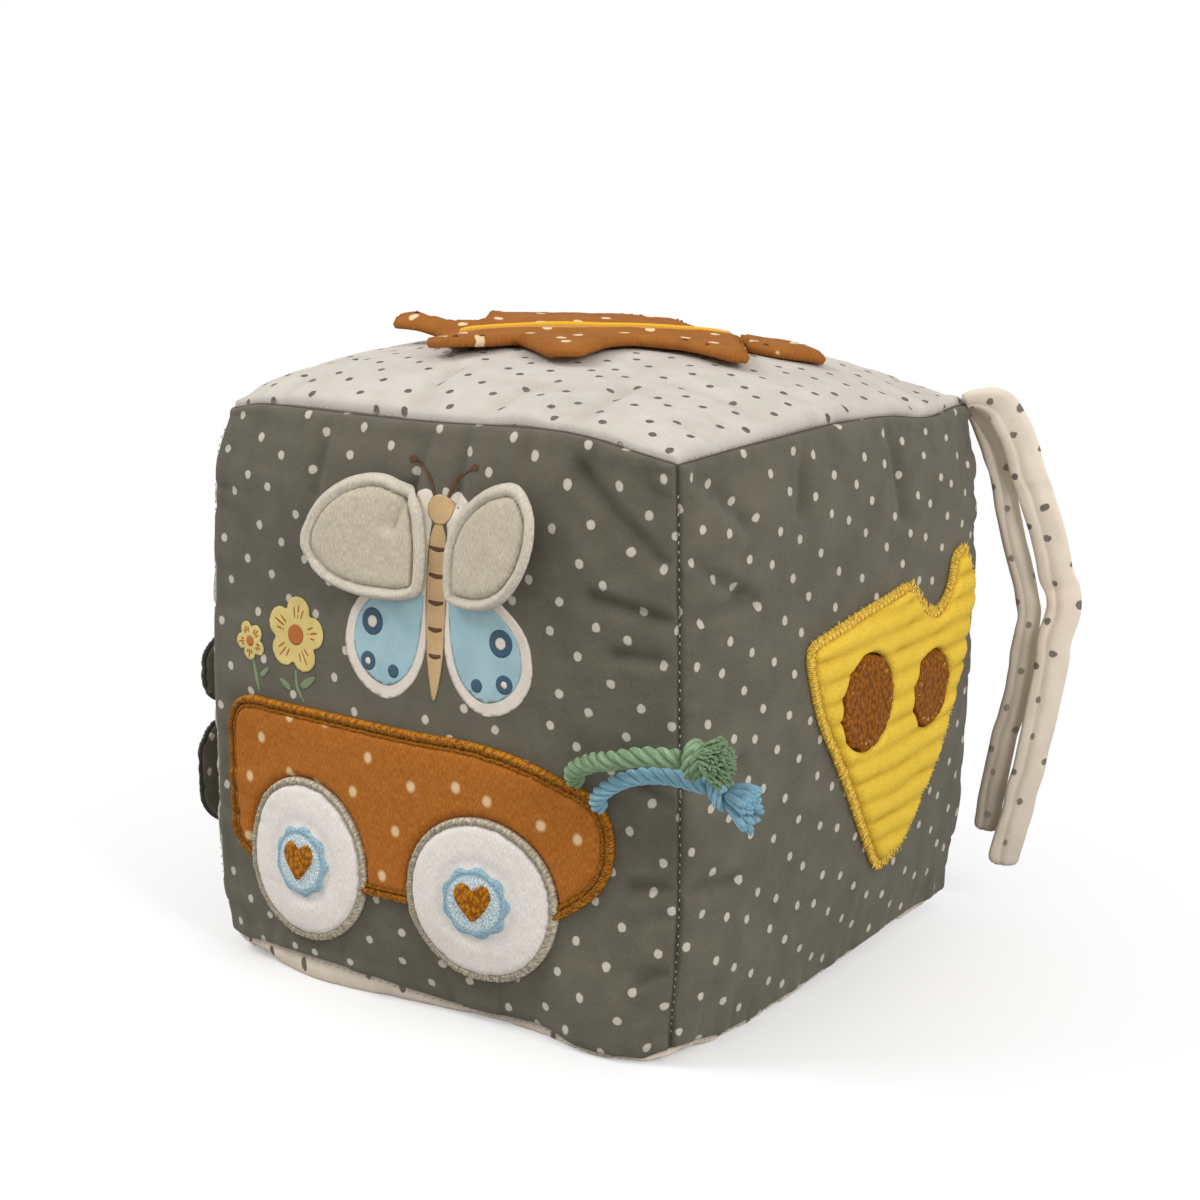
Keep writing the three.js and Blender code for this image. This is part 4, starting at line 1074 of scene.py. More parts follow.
def makePanel(faceName, slot, material):
    # each point is the stuffed body's, moved by the wrinkles and drawn in at the seams
    face, half = faces[faceName], body["half"]
    t = np.linspace(-1, 1, panels["cells"] + 1)
    steps = (1 - panels["crowding"]) * t + panels["crowding"] * np.sin(t * np.pi / 2)
    u, v = np.meshgrid(steps, steps)
    place = facePoint(faceName, u, v)
    uGap, vGap = half * (1 - np.abs(u)), half * (1 - np.abs(v))
    nearest = np.minimum(uGap, vGap)
    wrinkle = relief(faceName, u, v)
    dip = [panels["seamDepth"] * bell(gap, panels["seamWidth"]) for gap in (uGap, vGap)]
    roll = sum(panels["roll"] * bell(gap - panels["rollAt"], panels["rollWidth"]) for gap in (uGap, vGap))
    away = wrinkle + roll * fadeIn(nearest, 1) - np.maximum(*dip)
    place[..., face["normal"]] += face["sign"] * away
    place[..., face["across"]] -= np.sign(u) * dip[0]
    place[..., face["up"]] -= np.sign(v) * dip[1]
    place[..., 2] = np.maximum(place[..., 2], 0)
    flat = np.stack([u * half, v * half], -1) / 100 + face["seed"] * 0.37
    # painted shade: a dark line along each seam, and darkening in the hollows of the folds
    line = bell(nearest, panels["seamShadeWidth"])
    foldShade = panels["foldShade"] * np.clip(-wrinkle / cloth["foldDepth"], 0, 1)
    quads = gridFaces(*u.shape)
    first, second = np.zeros(3), np.zeros(3)
    first[face["across"]], second[face["up"]] = 1, 1
    if np.cross(first, second)[face["normal"]] * face["sign"] < 0:
        quads = quads[:, ::-1]
    marks = {"paintedShade": np.maximum(line, foldShade).ravel()}
    label = "panel" + faceName.capitalize()
    piece = makePiece(
        label, place.reshape(-1, 3), quads, material, "cube", slot, flat.reshape(-1, 2), marks, closed=False,
    )
    wall = piece.modifiers.new("wall", "SOLIDIFY")
    wall.thickness = panels["thickness"] * mm
    wall.offset = -1
    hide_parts("panel_" + faceName)


for faceName, slot, material in (
    ("front", "grey_cotton", greyCotton),
    ("right", "grey_cotton", greyCotton),
    ("back", "grey_cotton", greyCotton),
    ("left", "cream_cotton", creamCotton),
    ("top", "cream_cotton", creamCotton),
    ("bottom", "cream_cotton", tieCotton),
):
    makePanel(faceName, slot, material)
print("panels made")


# Wagon on the front: plush patch, two rows of satin stitches and the wheels

wagon = {
    "corners": [(-64, 72.2, 12), (-64, 28.5, 13), (38.5, 28.5, 12), (56, 42.5, 11), (56, 62.2, 10),
                (26, 72.6, 34)],
    "plush": 1.5, "wheels": {"left": (-34.3, 33.3), "right": (20.3, 33.1)}, "wheel": 42,
}
satinRow = {
    "inset": 0.0, "base": 0.15, "pitch": 0.62, "groove": 0.22, "uneven": 0.16, "fullness": 0.75, "sides": 11,
}
wagonRope = {**satinRow, "width": 2.1, "height": 1.9, "slant": 0.9}
wagonFlank = {
    **satinRow, "inset": 1.9, "width": 1.6, "height": 1.5, "slant": -0.7, "fullness": 0.8, "sides": 9,
}
wheel = {
    "rim": {**satinRow, "width": 2.2, "height": 2.0, "slant": 0.8, "groove": 0.2, "fullness": 0.7},
    "plush": 1.7, "plushInset": 1.7, "dome": 1.2, "dent": 0.55, "heart": (10, 10.2), "heartHeight": 0.8,
    "hub": 18.6, "hubHeight": 0.75, "scallops": 9, "scallop": 0.9, "band": 2.0,
    "seeds": {"left": 60, "right": 70},
}
heartHalf = [
    (0, 0.3), (0.12, 0.44), (0.27, 0.5), (0.42, 0.43), (0.5, 0.25), (0.44, 0.03), (0.24, -0.24), (0, -0.5),
]


def outsideWheels(across, up):
    away = [np.hypot(across - x, up - z) for x, z in wagon["wheels"].values()]
    return np.min(away, axis=0) - wagon["wheel"] / 2


def pile(across, up, seed, depth):
    # the uneven top of plush: fine strokes and broader tufts
    fine = valueNoise(across / 1.3 + 40, up / 2.6 + 40, seed)
    broad = valueNoise(across / 4 + 40, up / 5 + 40, seed + 1)
    return depth * (fine + 0.6 * broad)


def wagonTop(across, up, depth):
    clear = np.clip(outsideWheels(across, up) / 1.2, 0, 1)
    swell = wagon["plush"] * (0.75 + 0.25 * roundEdge(depth, 5)) + pile(across, up, 51, 0.07)
    return 0.12 + (0.2 + swell) * clear * roundEdge(depth + 0.4, 1.2)


wagonLine = roundedOutline(wagon["corners"], 12)
wheelRooms = [(centre, wagon["wheel"] / 2 - 1.4) for centre in wagon["wheels"].values()]
wagonPlush = patch(
    "wagonPlush", "front", wagonLine, 0.95, wagonTop, lambda a, u, d: 0.04, rustPlush, "cube", "rust_plush",
    inset=2.9,
)
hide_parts("wagon_plush")
ropes = ridge("wagonRope", "front", wagonLine, wagonRope, goldSatin, "cube", "gold_satin", wheelRooms)
ridge("wagonFlank", "front", wagonLine, wagonFlank, goldSatin, "cube", "gold_satin", wheelRooms)
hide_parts("wagon_satin_edge")
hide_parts("wagon_satin_middle")


def heartOutline(centre, size):
    half = np.array(heartHalf)
    mirrored = half[-2:0:-1] * (-1, 1)
    line = np.vstack([half, mirrored]) * size + centre
    return roundedOutline(np.column_stack([line, np.full(len(line), 1.2)]), 5)


def makeWheel(side):
    centre, seed = wagon["wheels"][side], wheel["seeds"][side]
    radius, hubRadius = wagon["wheel"] / 2, wheel["hub"] / 2
    plushRadius = radius - wheel["plushInset"]

    def far(across, up):
        return np.hypot(across - centre[0], up - centre[1])

    def top(across, up):
        reach = far(across, up)
        dome = wheel["dome"] * (1 - np.clip(reach / plushRadius, 0, 1) ** 2) ** 0.8
        return 0.2 + wheel["plush"] + dome - wheel["dent"] * bell(reach - hubRadius - 0.4, 1.8)

    def discTop(across, up, depth):
        return 0.1 + (top(across, up) + pile(across, up, seed, 0.08) - 0.1) * roundEdge(depth + 0.3, 1.6)

    def hubTop(across, up, depth):
        reach = far(across, up)
        angle = np.arctan2(up - centre[1], across - centre[0])
        band = np.clip((reach - hubRadius + wheel["band"]) / 0.7, 0, 1)
        loops = 0.1 * np.cos(angle * 72 + reach * 2.2)
        spokes = 0.09 * np.cos(angle * 46 + 1.5 * np.sin(reach * 1.7))
        height = wheel["hubHeight"] * (0.62 + 0.38 * band) + np.where(band > 0.5, loops, spokes)
        return top(across, up) + 0.05 + height * roundEdge(depth + 0.1, 0.7)

    def heartTop(across, up, depth):
        height = 0.5 + wheel["heartHeight"] + pile(2.4 * across, 3 * up, seed + 5, 0.12)
        return top(across, up) + 0.3 + height * roundEdge(depth, 0.8)

    disc = patch(
        f"{side}WheelPlush", "front", ringOutline(centre, (2 * plushRadius, 2 * plushRadius)), 0.8,
        discTop, lambda a, u, d: 0.08, whitePlush, "cube", "white_plush",
    )
    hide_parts(f"wheel_{side}_plush")
    rim = ridge(
        f"{side}WheelRim", "front", ringOutline(centre, (2 * radius, 2 * radius), 96), wheel["rim"],
        beigeSatin, "cube", "beige_satin",
    )
    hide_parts(f"wheel_{side}_satin_rim")
    ripple = wheel["scallop"] / wheel["hub"]
    hubLine = ringOutline(centre, (wheel["hub"], wheel["hub"]), 144, ripple, wheel["scallops"])
    hub = patch(
        f"{side}WheelHub", "front", hubLine, 0.33, hubTop, lambda a, u, d: top(a, u) - 0.3,
        blueSatin, "cube", "blue_satin",
        marks={"band": lambda a, u: np.clip((far(a, u) - hubRadius + 2.6) / 0.6, 0, 1)},
    )
    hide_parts(f"wheel_{side}_hub")
    heart = patch(
        f"{side}WheelHeart", "front", heartOutline(centre, wheel["heart"]), 0.3,
        heartTop, lambda a, u, d: top(a, u) + 0.2, goldSeeds, "cube", "gold_satin",
    )
    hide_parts(f"wheel_{side}_heart")


def hubSatin(look):
    # a scalloped blue band round paler radial stitches
    finish = Finish("blueSatin")
    flecks = finish.noise(finish.cloth(scale=(1, 0.5, 1)), 300, 3, 0.7)
    strands = finish.noise(finish.cloth(), 160, 4, 0.7)
    blue = finish.mix(strands.step(0.35, 0.65), look["deep"], look["bright"])
    pale = finish.mix(flecks.step(0.44, 0.54), look["cool"], look["white"])
    colour = finish.mix(finish.mark("band"), pale, blue)
    return finish.finished(colour, 0.45, finish.bump(strands + flecks * 0.6, 0.35, 0.9), specular=0.35)


blueSatin = hubSatin({
    "deep": tint(120, 156, 174), "bright": tint(172, 202, 214), "cool": tint(150, 186, 198),
    "white": tint(240, 246, 246),
})
for side in wagon["wheels"]:
    makeWheel(side)
print("wagon made")


# Wings: two plush flaps of the butterfly, each with a hem round a sunken lining

wings = {
    "left": {
        "outline": [(2, 106), (3.5, 113), (3, 121), (0.5, 129), (-8, 134), (-19, 132.5),
                    (-28, 125.5), (-31.5, 115.5), (-26, 107.5), (-14, 104)],
        "hinge": 2.7, "away": -1, "length": 34, "standOff": 5, "seed": 81,
    },
    "right": {
        "outline": [(11, 106), (20, 105), (31, 109), (38, 118.5), (39, 130), (33, 136.5),
                    (24, 135), (14.5, 128.5), (10.5, 121), (9.8, 113)],
        "hinge": 10.3, "away": 1, "length": 28, "standOff": 7, "seed": 91,
    },
    "hingeLift": 0.5, "cloth": 0.6, "back": 1.0, "hem": 3.0, "hemHeight": 2.5, "lining": 1.3,
}


def cutSize(outline):
    # width, length and area of the flat piece that an outline is cut from, in metres
    size = (outline.max(0) - outline.min(0)) * mm
    return tuple(size), float(abs(loopArea(outline))) * mm * mm


def makeWing(side):
    look = wings[side]
    outline, seed = loopThrough(look["outline"]), look["seed"]

    def level(across):
        reach = np.maximum(0, look["away"] * (across - look["hinge"]) / look["length"])
        return wings["hingeLift"] + look["standOff"] * reach ** 1.4

    def front(across, up, depth):
        hem = np.exp(-((depth - wings["hem"] / 2) / (wings["hem"] / 2.6)) ** 4)
        sunk = wings["back"] + (wings["hemHeight"] - wings["back"]) * hem
        height = sunk - wings["cloth"] + pile(across, up, seed, 0.2)
        return level(across) + wings["cloth"] + height * roundEdge(depth + 0.05, 1.1)

    def behind(across, up, depth):
        return level(across) + wings["cloth"] * (1 - roundEdge(depth, 1.0))

    def liningTop(across, up, depth):
        height = wings["lining"] + pile(across, up, seed + 3, 0.14)
        return level(across) + wings["back"] + 0.15 + height * roundEdge(depth, 2.5)

    rides = f"wing_{side}"
    flap = patch(f"{side}WingPlush", "front", outline, 0.7, front, behind, creamPlush, rides, "cream_plush")
    lining = patch(
        f"{side}WingLining", "front", outline, 0.7, liningTop, lambda a, u, d: level(a) + wings["back"] + 0.1,
        beigePlush, rides, "cream_plush", inset=wings["hem"],
    )
    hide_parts(f"wing_{side}_plush")
    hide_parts(f"wing_{side}_lining")
    size, area = cutSize(outline)


for side in ("left", "right"):
    makeWing(side)
print("wings made")


# Printed figures on the front cloth: the lower half of a butterfly, and blossoms

prints = {
    "low": 0.05, "ink": 0.05, "step": 0.06, "middle": 6.5,
    "upper": [(-2.5, 106), (-2.5, 122), (-1.5, 127), (-3.5, 131.5), (-9, 129), (-12, 116), (-9, 108)],
    "lower": [(-2.5, 112), (-10, 110.5), (-20, 106.5), (-27, 99), (-28, 89), (-22.5, 81.5), (-14, 79),
              (-6.5, 84), (-2.5, 94)],
    "blue": 0.8, "spots": [(-19.5, 97.5, 3.4), (-20.5, 87.6, 2.4), (-12.4, 86.2, 1.7)],
    "lights": [(-19.5, 97.5, 1.5), (-20.5, 87.6, 0.9)],
    "body": [(0, 124.5), (2.4, 121), (3.1, 113), (2.9, 102), (1.9, 88), (0, 80.5)],
    "bands": [117.5, 111, 104.5, 98, 91.5], "head": (127, 3.7),
    "feelers": [(-1.6, 129.5), (-4.2, 135), (-9.4, 138)], "feelerEnd": 0.9,
    "blossoms": [((-39, 90), 9.8, 0.2), ((-55, 86), 5.2, 0.8)], "hearts": 0.27,
    "stems": [[(-39, 81), (-38.4, 77), (-36, 73)], [(-54.6, 82), (-53, 77.6), (-51.4, 73)]],
    "leaves": [((-34.6, 78.6), 6.0, 35), ((-42.6, 77), 5.0, 150), ((-49.8, 78.8), 4.2, 40)],
}


def disc(centre, radius):
    return ringOutline(centre, (2 * radius, 2 * radius), 28)


def rosette(centre, radius, turn):
    # five petals: the radius swells with the cosine of five half turns
    turns = np.linspace(0, 2 * np.pi, 80, endpoint=False)
    reach = radius * (0.62 + 0.38 * np.abs(np.cos(2.5 * (turns - turn))) ** 0.55)
    return np.array(centre) + reach[:, None] * np.stack([np.cos(turns), np.sin(turns)], -1)


def stroke(route, width):
    # a drawn line: wide in the middle and narrow at both ends
    path = evenly(smoothCurve(np.array(route, float)), 0.5, False)
    side = pathNormals(path, False)
    half = width / 2 * (0.55 + 0.45 * np.sin(np.pi * np.linspace(0, 1, len(path))))[:, None]
    return np.vstack([path - side * half, (path + side * half)[::-1]])


def leafShape(centre, length, turn):
    # an ellipse that narrows towards its tip
    share = np.linspace(0, 2 * np.pi, 32, endpoint=False)
    long, wide = np.cos(share), 0.36 * np.sin(share) * (1 - 0.35 * np.cos(share))
    cos, sin = math.cos(math.radians(turn)), math.sin(math.radians(turn))
    return np.array(centre) + length / 2 * np.stack([long * cos - wide * sin, long * sin + wide * cos], -1)


def hatching(centre, radius, turn):
    # three short lines on each petal, pointing to the blossom's middle
    lines = []
    for number in range(15):
        angle = turn + 2 * math.pi * (number // 3) / 5 + 0.24 * (number % 3 - 1)
        way = radius * np.array([math.cos(angle), math.sin(angle)])
        far = 0.84 if number % 3 == 1 else 0.72
        lines.append(stroke([centre + way * share for share in (0.42, 0.6, far)], 0.5))
    return lines


def bothSides(points):
    # places left of the butterfly's middle, and their mirror image
    points = np.array(points, float)
    return [points + (prints["middle"], 0), points * (-1, 1) + (prints["middle"], 0)]


def bothSpots(spots):
    return [disc((prints["middle"] + way * x, z), size) for x, z, size in spots for way in (-1, 1)]


def printed(name, outlines, layer, cell, ink, slot):
    # thin shapes of ink on the front cloth, all of one colour and on one layer
    low = prints["low"] + prints["step"] * layer
    places, quads, flats, total = [], [], [], 0
    for outline in outlines:
        points, depth, cells = cutGrid(outline, cell)
        free, cells = twoSided(depth, cells)
        front = overFace("front", *points.T, low + prints["ink"] * roundEdge(depth, 0.25))
        back = overFace("front", *points.T, low)
        quads.append(cells + total)
        places += [front, back[free]]
        flats += [points, points[free]]
        total += len(points) + np.count_nonzero(free)
    makePiece(name, np.vstack(places), np.vstack(quads), inks[ink], "cube", slot, np.vstack(flats) / 100)


def printButterfly():
    lower = [loopThrough(side) for side in bothSides(prints["lower"])]
    upper = [loopThrough(side) for side in bothSides(prints["upper"])]
    blue = [side.mean(0) + (side - side.mean(0)) * prints["blue"] for side in lower]
    half = np.array(prints["body"])
    body = np.vstack([half, (half[1:-1] * (-1, 1))[::-1]]) + (prints["middle"], 0)
    height, radius = prints["head"]
    feelers = bothSides(prints["feelers"])
    bands = []
    for z in prints["bands"]:
        wide = 1.4 + 0.035 * (z - 80)
        bands.append(stroke([(prints["middle"] + x, z + 0.4 * abs(x) / wide) for x in (-wide, 0, wide)], 1.2))
    printed("butterflyWings", lower, 0, 0.8, "cream", "cream_cotton")
    printed("butterflyTop", upper, 1, 0.8, "cream", "cream_cotton")
    printed("butterflyBlue", blue, 1, 0.8, "sky", "blue_satin")
    printed("butterflySpots", bothSpots(prints["spots"]), 2, 0.5, "navy", "blue_satin")
    printed("butterflyLights", bothSpots(prints["lights"]), 3, 0.4, "cream", "cream_cotton")
    printed("butterflyBody", [loopThrough(body, 0.8)], 2, 0.5, "tan", "rust_cotton")
    printed("butterflyHead", [disc((prints["middle"], height), radius)], 3, 0.5, "tan", "rust_cotton")
    printed("butterflyBands", bands, 3, 0.4, "brown", "rust_cotton")
    printed("butterflyFeelers", [stroke(side, 0.9) for side in feelers], 2, 0.3, "brown", "rust_cotton")
    ends = [disc(side[-1], prints["feelerEnd"]) for side in feelers]
    printed("butterflyFeelerEnds", ends, 3, 0.3, "brown", "rust_cotton")


def printBlossoms():
    rosettes, lines, middles = [], [], []
    for centre, radius, turn in prints["blossoms"]:
        rosettes.append(rosette(centre, radius, turn))
        lines += hatching(np.array(centre, float), radius, turn)
        middles.append(disc(centre, radius * prints["hearts"]))
    printed("blossomStems", [stroke(stem, 1.2) for stem in prints["stems"]], 0, 0.4, "leaf", "green_yarn")
    printed("blossomLeaves", [leafShape(*shape) for shape in prints["leaves"]], 1, 0.4, "leaf", "green_yarn")
    printed("blossomPetals", rosettes, 2, 0.5, "pale", "yellow_plush")
    printed("blossomLines", lines, 3, 0.3, "rust", "rust_cotton")
    printed("blossomMiddles", middles, 3, 0.4, "rust", "rust_cotton")


printButterfly()
printBlossoms()
print("prints made")


# Cheese wedge on the right: ribbed plush, a satin edge and two embroidered holes

cheese = {
    "outline": [(-26.5, 94, 6), (24, 101, 4), (31, 93.5, 3), (39, 89.5, 7), (46.5, 94, 5), (48.5, 102.5, 4),
                (56, 105, 4), (65.5, 89.5, 7), (57.5, 72.5, 14), (45.5, 51.5, 12), (25.5, 30, 6),
                (13, 26.5, 4), (2.5, 39, 8), (-12, 62, 8), (-22.5, 76, 8)],
    "plush": 1.6, "rib": 6.0, "ribHeight": 1.15, "ribSlope": -0.02, "bulge": 0.5,
    "holes": {"near": ((0.8, 74.5), (23, 23)), "far": ((35.5, 70.3), (19.5, 18.5))},
    "holeHeight": 2.2,
    "tufts": {"spacing": 0.35, "inset": 0.9, "reach": 2.0, "thick": 0.13, "seed": 118},
    "holeTufts": {"spacing": 0.4, "inset": -0.4, "reach": -1.5, "thick": 0.13, "seed": 119},
}
cheeseEdge = {**satinRow, "width": 2.6, "height": 1.7, "pitch": 0.7, "slant": 0.6, "uneven": 0.14}


def cheeseRibs(across, up):
    # rounded ribs with a narrow valley between them
    wander = 0.9 * valueNoise(across / 16 + 30, up / 12 + 30, 104)
    phase = (up + cheese["ribSlope"] * across + wander) / cheese["rib"]
    return np.abs(np.sin(np.pi * phase)) ** 0.32


def cheeseTop(across, up, depth):
    bulge = cheese["bulge"] * np.clip((across - 10) / 45, 0, 1)
    ribs = (cheese["ribHeight"] + bulge) * cheeseRibs(across, up)
    return 0.1 + (cheese["plush"] + ribs + pile(across, up, 101, 0.14)) * roundEdge(depth + 0.3, 1.6)


cheeseLine = roundedOutline(cheese["outline"], 7)
holeLines = [
    ringOutline(centre, (size[0] - 2.0, size[1] - 2.0), 48) for centre, size in cheese["holes"].values()
]
cheesePlush = patch(
    "cheesePlush", "right", cheeseLine, 0.95, cheeseTop, lambda a, u, d: 0.05,
    yellowPlush, "cube", "yellow_plush", holeLines, inset=2.0,
    marks={"valleyShade": lambda a, u: 1 - cheeseRibs(a, u)},
)
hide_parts("cheese_plush")
edge = ridge("cheeseEdge", "right", cheeseLine, cheeseEdge, yellowSatin, "cube", "yellow_satin")
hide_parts("cheese_satin_edge")


def makeHole(place):
    centre, size = cheese["holes"][place]
    wobble = evenly(ringOutline(centre, (size[0] + 2.2, size[1] + 2.2), 64), 1.1, True)
    wobble += 0.6 * np.stack([valueNoise(*wobble.T, 111 + k) for k in range(2)], -1)

    def top(across, up, depth):
        height = cheese["holeHeight"] + 0.35 * roundEdge(depth, 3) + pile(2 * across, 3 * up, 115, 0.16)
        return 0.1 + height * roundEdge(depth, 1.0)

    hole = patch(
        f"{place}Hole", "right", wobble, 0.45, top, lambda a, u, d: 0.06, brownSeeds, "cube", "brown_satin",
    )
    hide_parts(f"cheese_hole_{place}")


for place in ("near", "far"):
    makeHole(place)


def tufts(name, faceName, outline, level, look, material, rides, slot):
    # short pile that stands out past an edge, each tuft in its own direction
    rng = np.random.default_rng(look["seed"])
    path = evenly(outline, look["spacing"], True)
    inwards = inwardNormals(path)
    count = len(path)
    root = path + inwards * look["inset"]
    reach = look["reach"] * rng.uniform(0.5, 1, (count, 1))
    tip = root - inwards * reach + rng.normal(0, 0.35, (count, 2))
    low = overFace(faceName, *root.T, level + rng.uniform(-0.7, 0, count))
    high = overFace(faceName, *tip.T, level + rng.uniform(-0.9, 0.1, count))
    face = faces[faceName]
    lift = np.zeros((count, 3))
    lift[:, face["normal"]] = 0.25 * face["sign"]
    return threads(name, low, high, lift, look["thick"], material, rides, slot, rings=4, sides=4)


tufts("cheeseTufts", "right", cheeseLine, 1.7, cheese["tufts"], yellowPile, "cube", "yellow_plush")
for place, line in zip(cheese["holes"], holeLines):
    tufts(f"{place}HoleTufts", "right", line, 2.5, cheese["holeTufts"], yellowPile, "cube", "yellow_plush")
print("cheese made")


# Leaf on top: two loose halves beside the spine, the end lobe and a ribbon

leaf = {
    "turn": 40.5, "spineEnds": (-40, 36), "spineHalf": 3.5, "thick": 2.7, "edge": 1.1, "strip": 0.7,
    "clear": 0.3, "gap": 0.1,
    "near": [(-41, -9, 2), (-46, -15, 2), (-44, -23, 2), (-30, -17, 4), (-23, -12, 2), (-17, -34, 2),
             (-8, -35, 2), (1, -18, 4), (7, -12, 3), (19, -20, 4), (28, -33, 2), (34, -31, 2)],
    "far": [(35, 14, 2), (27, 14, 2), (22, 29, 2), (4, 31, 2), (1, 27, 1), (-5, 31, 2), (-27, 31, 2),
            (-30, 15, 3), (-38, 14, 3), (-51, 23, 2), (-54, 17, 2), (-42, 8, 3)],
    "tip": [(36.5, -6, 1), (46, -11, 4), (57, -8, 2), (56.5, -2, 2), (46, 10, 3), (37, 14, 1)],
    "rise": {"near": 3, "far": 6, "tip": 0.6}, "lift": {"near": 1.2, "far": 1.5}, "sink": 1.1,
    "riseStart": -24, "riseReach": 22, "bend": (3.3, 5.4), "seeds": {"near": 121, "far": 131},
    "stitchInset": 1.2, "stitch": 1.5, "stitchGap": 1.0, "stitchDepth": 0.32, "dent": 0.55,
}
leafCos, leafSin = math.cos(math.radians(leaf["turn"])), math.sin(math.radians(leaf["turn"]))


def ontoTop(points):
    x, y = points.T
    return np.stack([x * leafCos - y * leafSin, x * leafSin + y * leafCos], -1)


def alongLeaf(x, y):
    return x * leafCos + y * leafSin, y * leafCos - x * leafSin


def leafHover(side, x, y):
    # how far a half stands off the cloth: over the strip at the spine, more towards the lobes
    along, across = alongLeaf(x, y)
    outwards = np.maximum(0, np.abs(across) - leaf["spineHalf"]) / 25
    leftwards = np.clip((leaf["riseStart"] - along) / leaf["riseReach"], 0, 1)
    strip = (leaf["strip"] + leaf["gap"]) * (1 - np.clip((np.abs(across) - 3) / 3, 0, 1))
    return leaf["clear"] + strip + outwards * (leaf["lift"][side] + leaf["rise"][side] * leftwards)


def tipHover(x, y):
    along, _ = alongLeaf(x, y)
    return leaf["clear"] + leaf["rise"]["tip"] * np.maximum(0, (along - leaf["spineEnds"][1]) / 20) ** 1.5


def quilted(thick, depth, across, up, seed):
    # a rolled edge, a dent along the topstitching, and a full, slightly uneven middle
    dent = leaf["dent"] * bell(depth - leaf["stitchInset"], 0.5)
    uneven = 0.22 * valueNoise(across / 7 + 40, up / 7 + 40, seed)
    uneven += 0.08 * valueNoise(across / 2.2 + 40, up / 2.2 + 40, seed + 1)
    return thick * (0.45 + 0.55 * roundEdge(depth, leaf["edge"])) - dent + uneven * roundEdge(depth, 3)


def stitchRow(name, faceName, outline, levelAt, rides, keep):
    # dashes of thread along an outline, a little inside it
    step, inset = 0.5, leaf["stitchInset"]
    path = evenly(outline, step, True)
    path = path + inwardNormals(path) * inset
    usable = (sideGap(outline, path)[0] > inset) & keep(*path.T)
    dash, space = int(leaf["stitch"] / step), int((leaf["stitch"] + leaf["stitchGap"]) / step)
    first = np.arange(0, len(path) - dash, space)
    first = first[usable[first] & usable[first + dash]]
    start, end = path[first].T, path[first + dash].T
    lift = np.tile((0.0, 0.0, 0.28), (len(first), 1))
    low, high = overFace(faceName, *start, levelAt(*start)), overFace(faceName, *end, levelAt(*end))
    return threads(name, low, high, lift, 0.19, darkThread, rides, "rust_cotton")


def makeLeafHalf(side):
    sign = -1 if side == "near" else 1
    left, right = leaf["spineEnds"]
    ends = [(left, sign * 0.12, 0.5), (right - 0.35, sign * 0.12, 0.5)][::-sign]
    flatLine = roundedOutline([ends[0], *leaf[side], ends[1]], 6)
    outline = ontoTop(flatLine)

    def spine(x, y):
        # 1 at the spine and 0 where the loose cloth begins
        return 1 - np.clip((np.abs(alongLeaf(x, y)[1]) - 0.5) / 3, 0, 1)

    def front(x, y, depth):
        near = spine(x, y)
        full = quilted(leaf["thick"], np.maximum(depth, 3 * near), x, y, leaf["seeds"][side])
        return leafHover(side, x, y) + full - leaf["sink"] * near

    def behind(x, y, depth):
        return leafHover(side, x, y) + 0.5 * leaf["thick"] * (1 - roundEdge(depth, leaf["edge"]))

    half = patch(f"{side}Leaf", "top", outline, 0.8, front, behind, rustCotton, None, "rust_cotton")
    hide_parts(f"leaf_{side}_lining", f"leaf_{side}_cloth")
    bend = ontoTop(sign * np.array([(0, across) for across in leaf["bend"]]))
    start, end = overFace("top", *bend.T, 1.5) * mm
    size, area = cutSize(flatLine)
    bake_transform(half)
    stitchRow(
        f"{side}LeafStitches", "top", outline,
        lambda x, y: leafHover(side, x, y) + leaf["thick"] - leaf["stitchDepth"],
        f"leaf_{side}", lambda x, y: np.abs(alongLeaf(x, y)[1]) > 6,
    )


for side in ("near", "far"):
    makeLeafHalf(side)


def makeTip():
    (left, right), half = leaf["spineEnds"], leaf["spineHalf"]
    corners = [(left, -half, 0.5), (right, -half, 0.2), *leaf["tip"], (right, half, 0.2), (left, half, 0.5)]
    flatLine = roundedOutline(corners, 6)
    outline = ontoTop(flatLine)

    def lobe(x, y):
        return np.clip((alongLeaf(x, y)[0] - 35.8) / 1.4, 0, 1)

    def front(x, y, depth):
        full = quilted(leaf["thick"], depth, x, y, 141)
        return tipHover(x, y) + leaf["strip"] * 0.6 + (full - leaf["strip"] * 0.6) * lobe(x, y)

    def behind(x, y, depth):
        return tipHover(x, y) - 0.15 + 0.5 * leaf["thick"] * (1 - roundEdge(depth, leaf["edge"])) * lobe(x, y)

    tip = patch("leafSpine", "top", outline, 0.8, front, behind, rustCotton, "cube", "rust_cotton")
    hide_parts("leaf_spine")
    size, area = cutSize(flatLine)
    stitchRow(
        "leafTipStitches", "top", outline,
        lambda x, y: tipHover(x, y) + leaf["thick"] - leaf["stitchDepth"],
        "cube", lambda x, y: alongLeaf(x, y)[0] > 38.5,
    )


makeTip()

ribbon = {"ends": (-37, 33), "near": (0.8, 3.2), "far": (0.8, 2.6), "growth": 30, "thick": 0.55, "fold": 0.9}


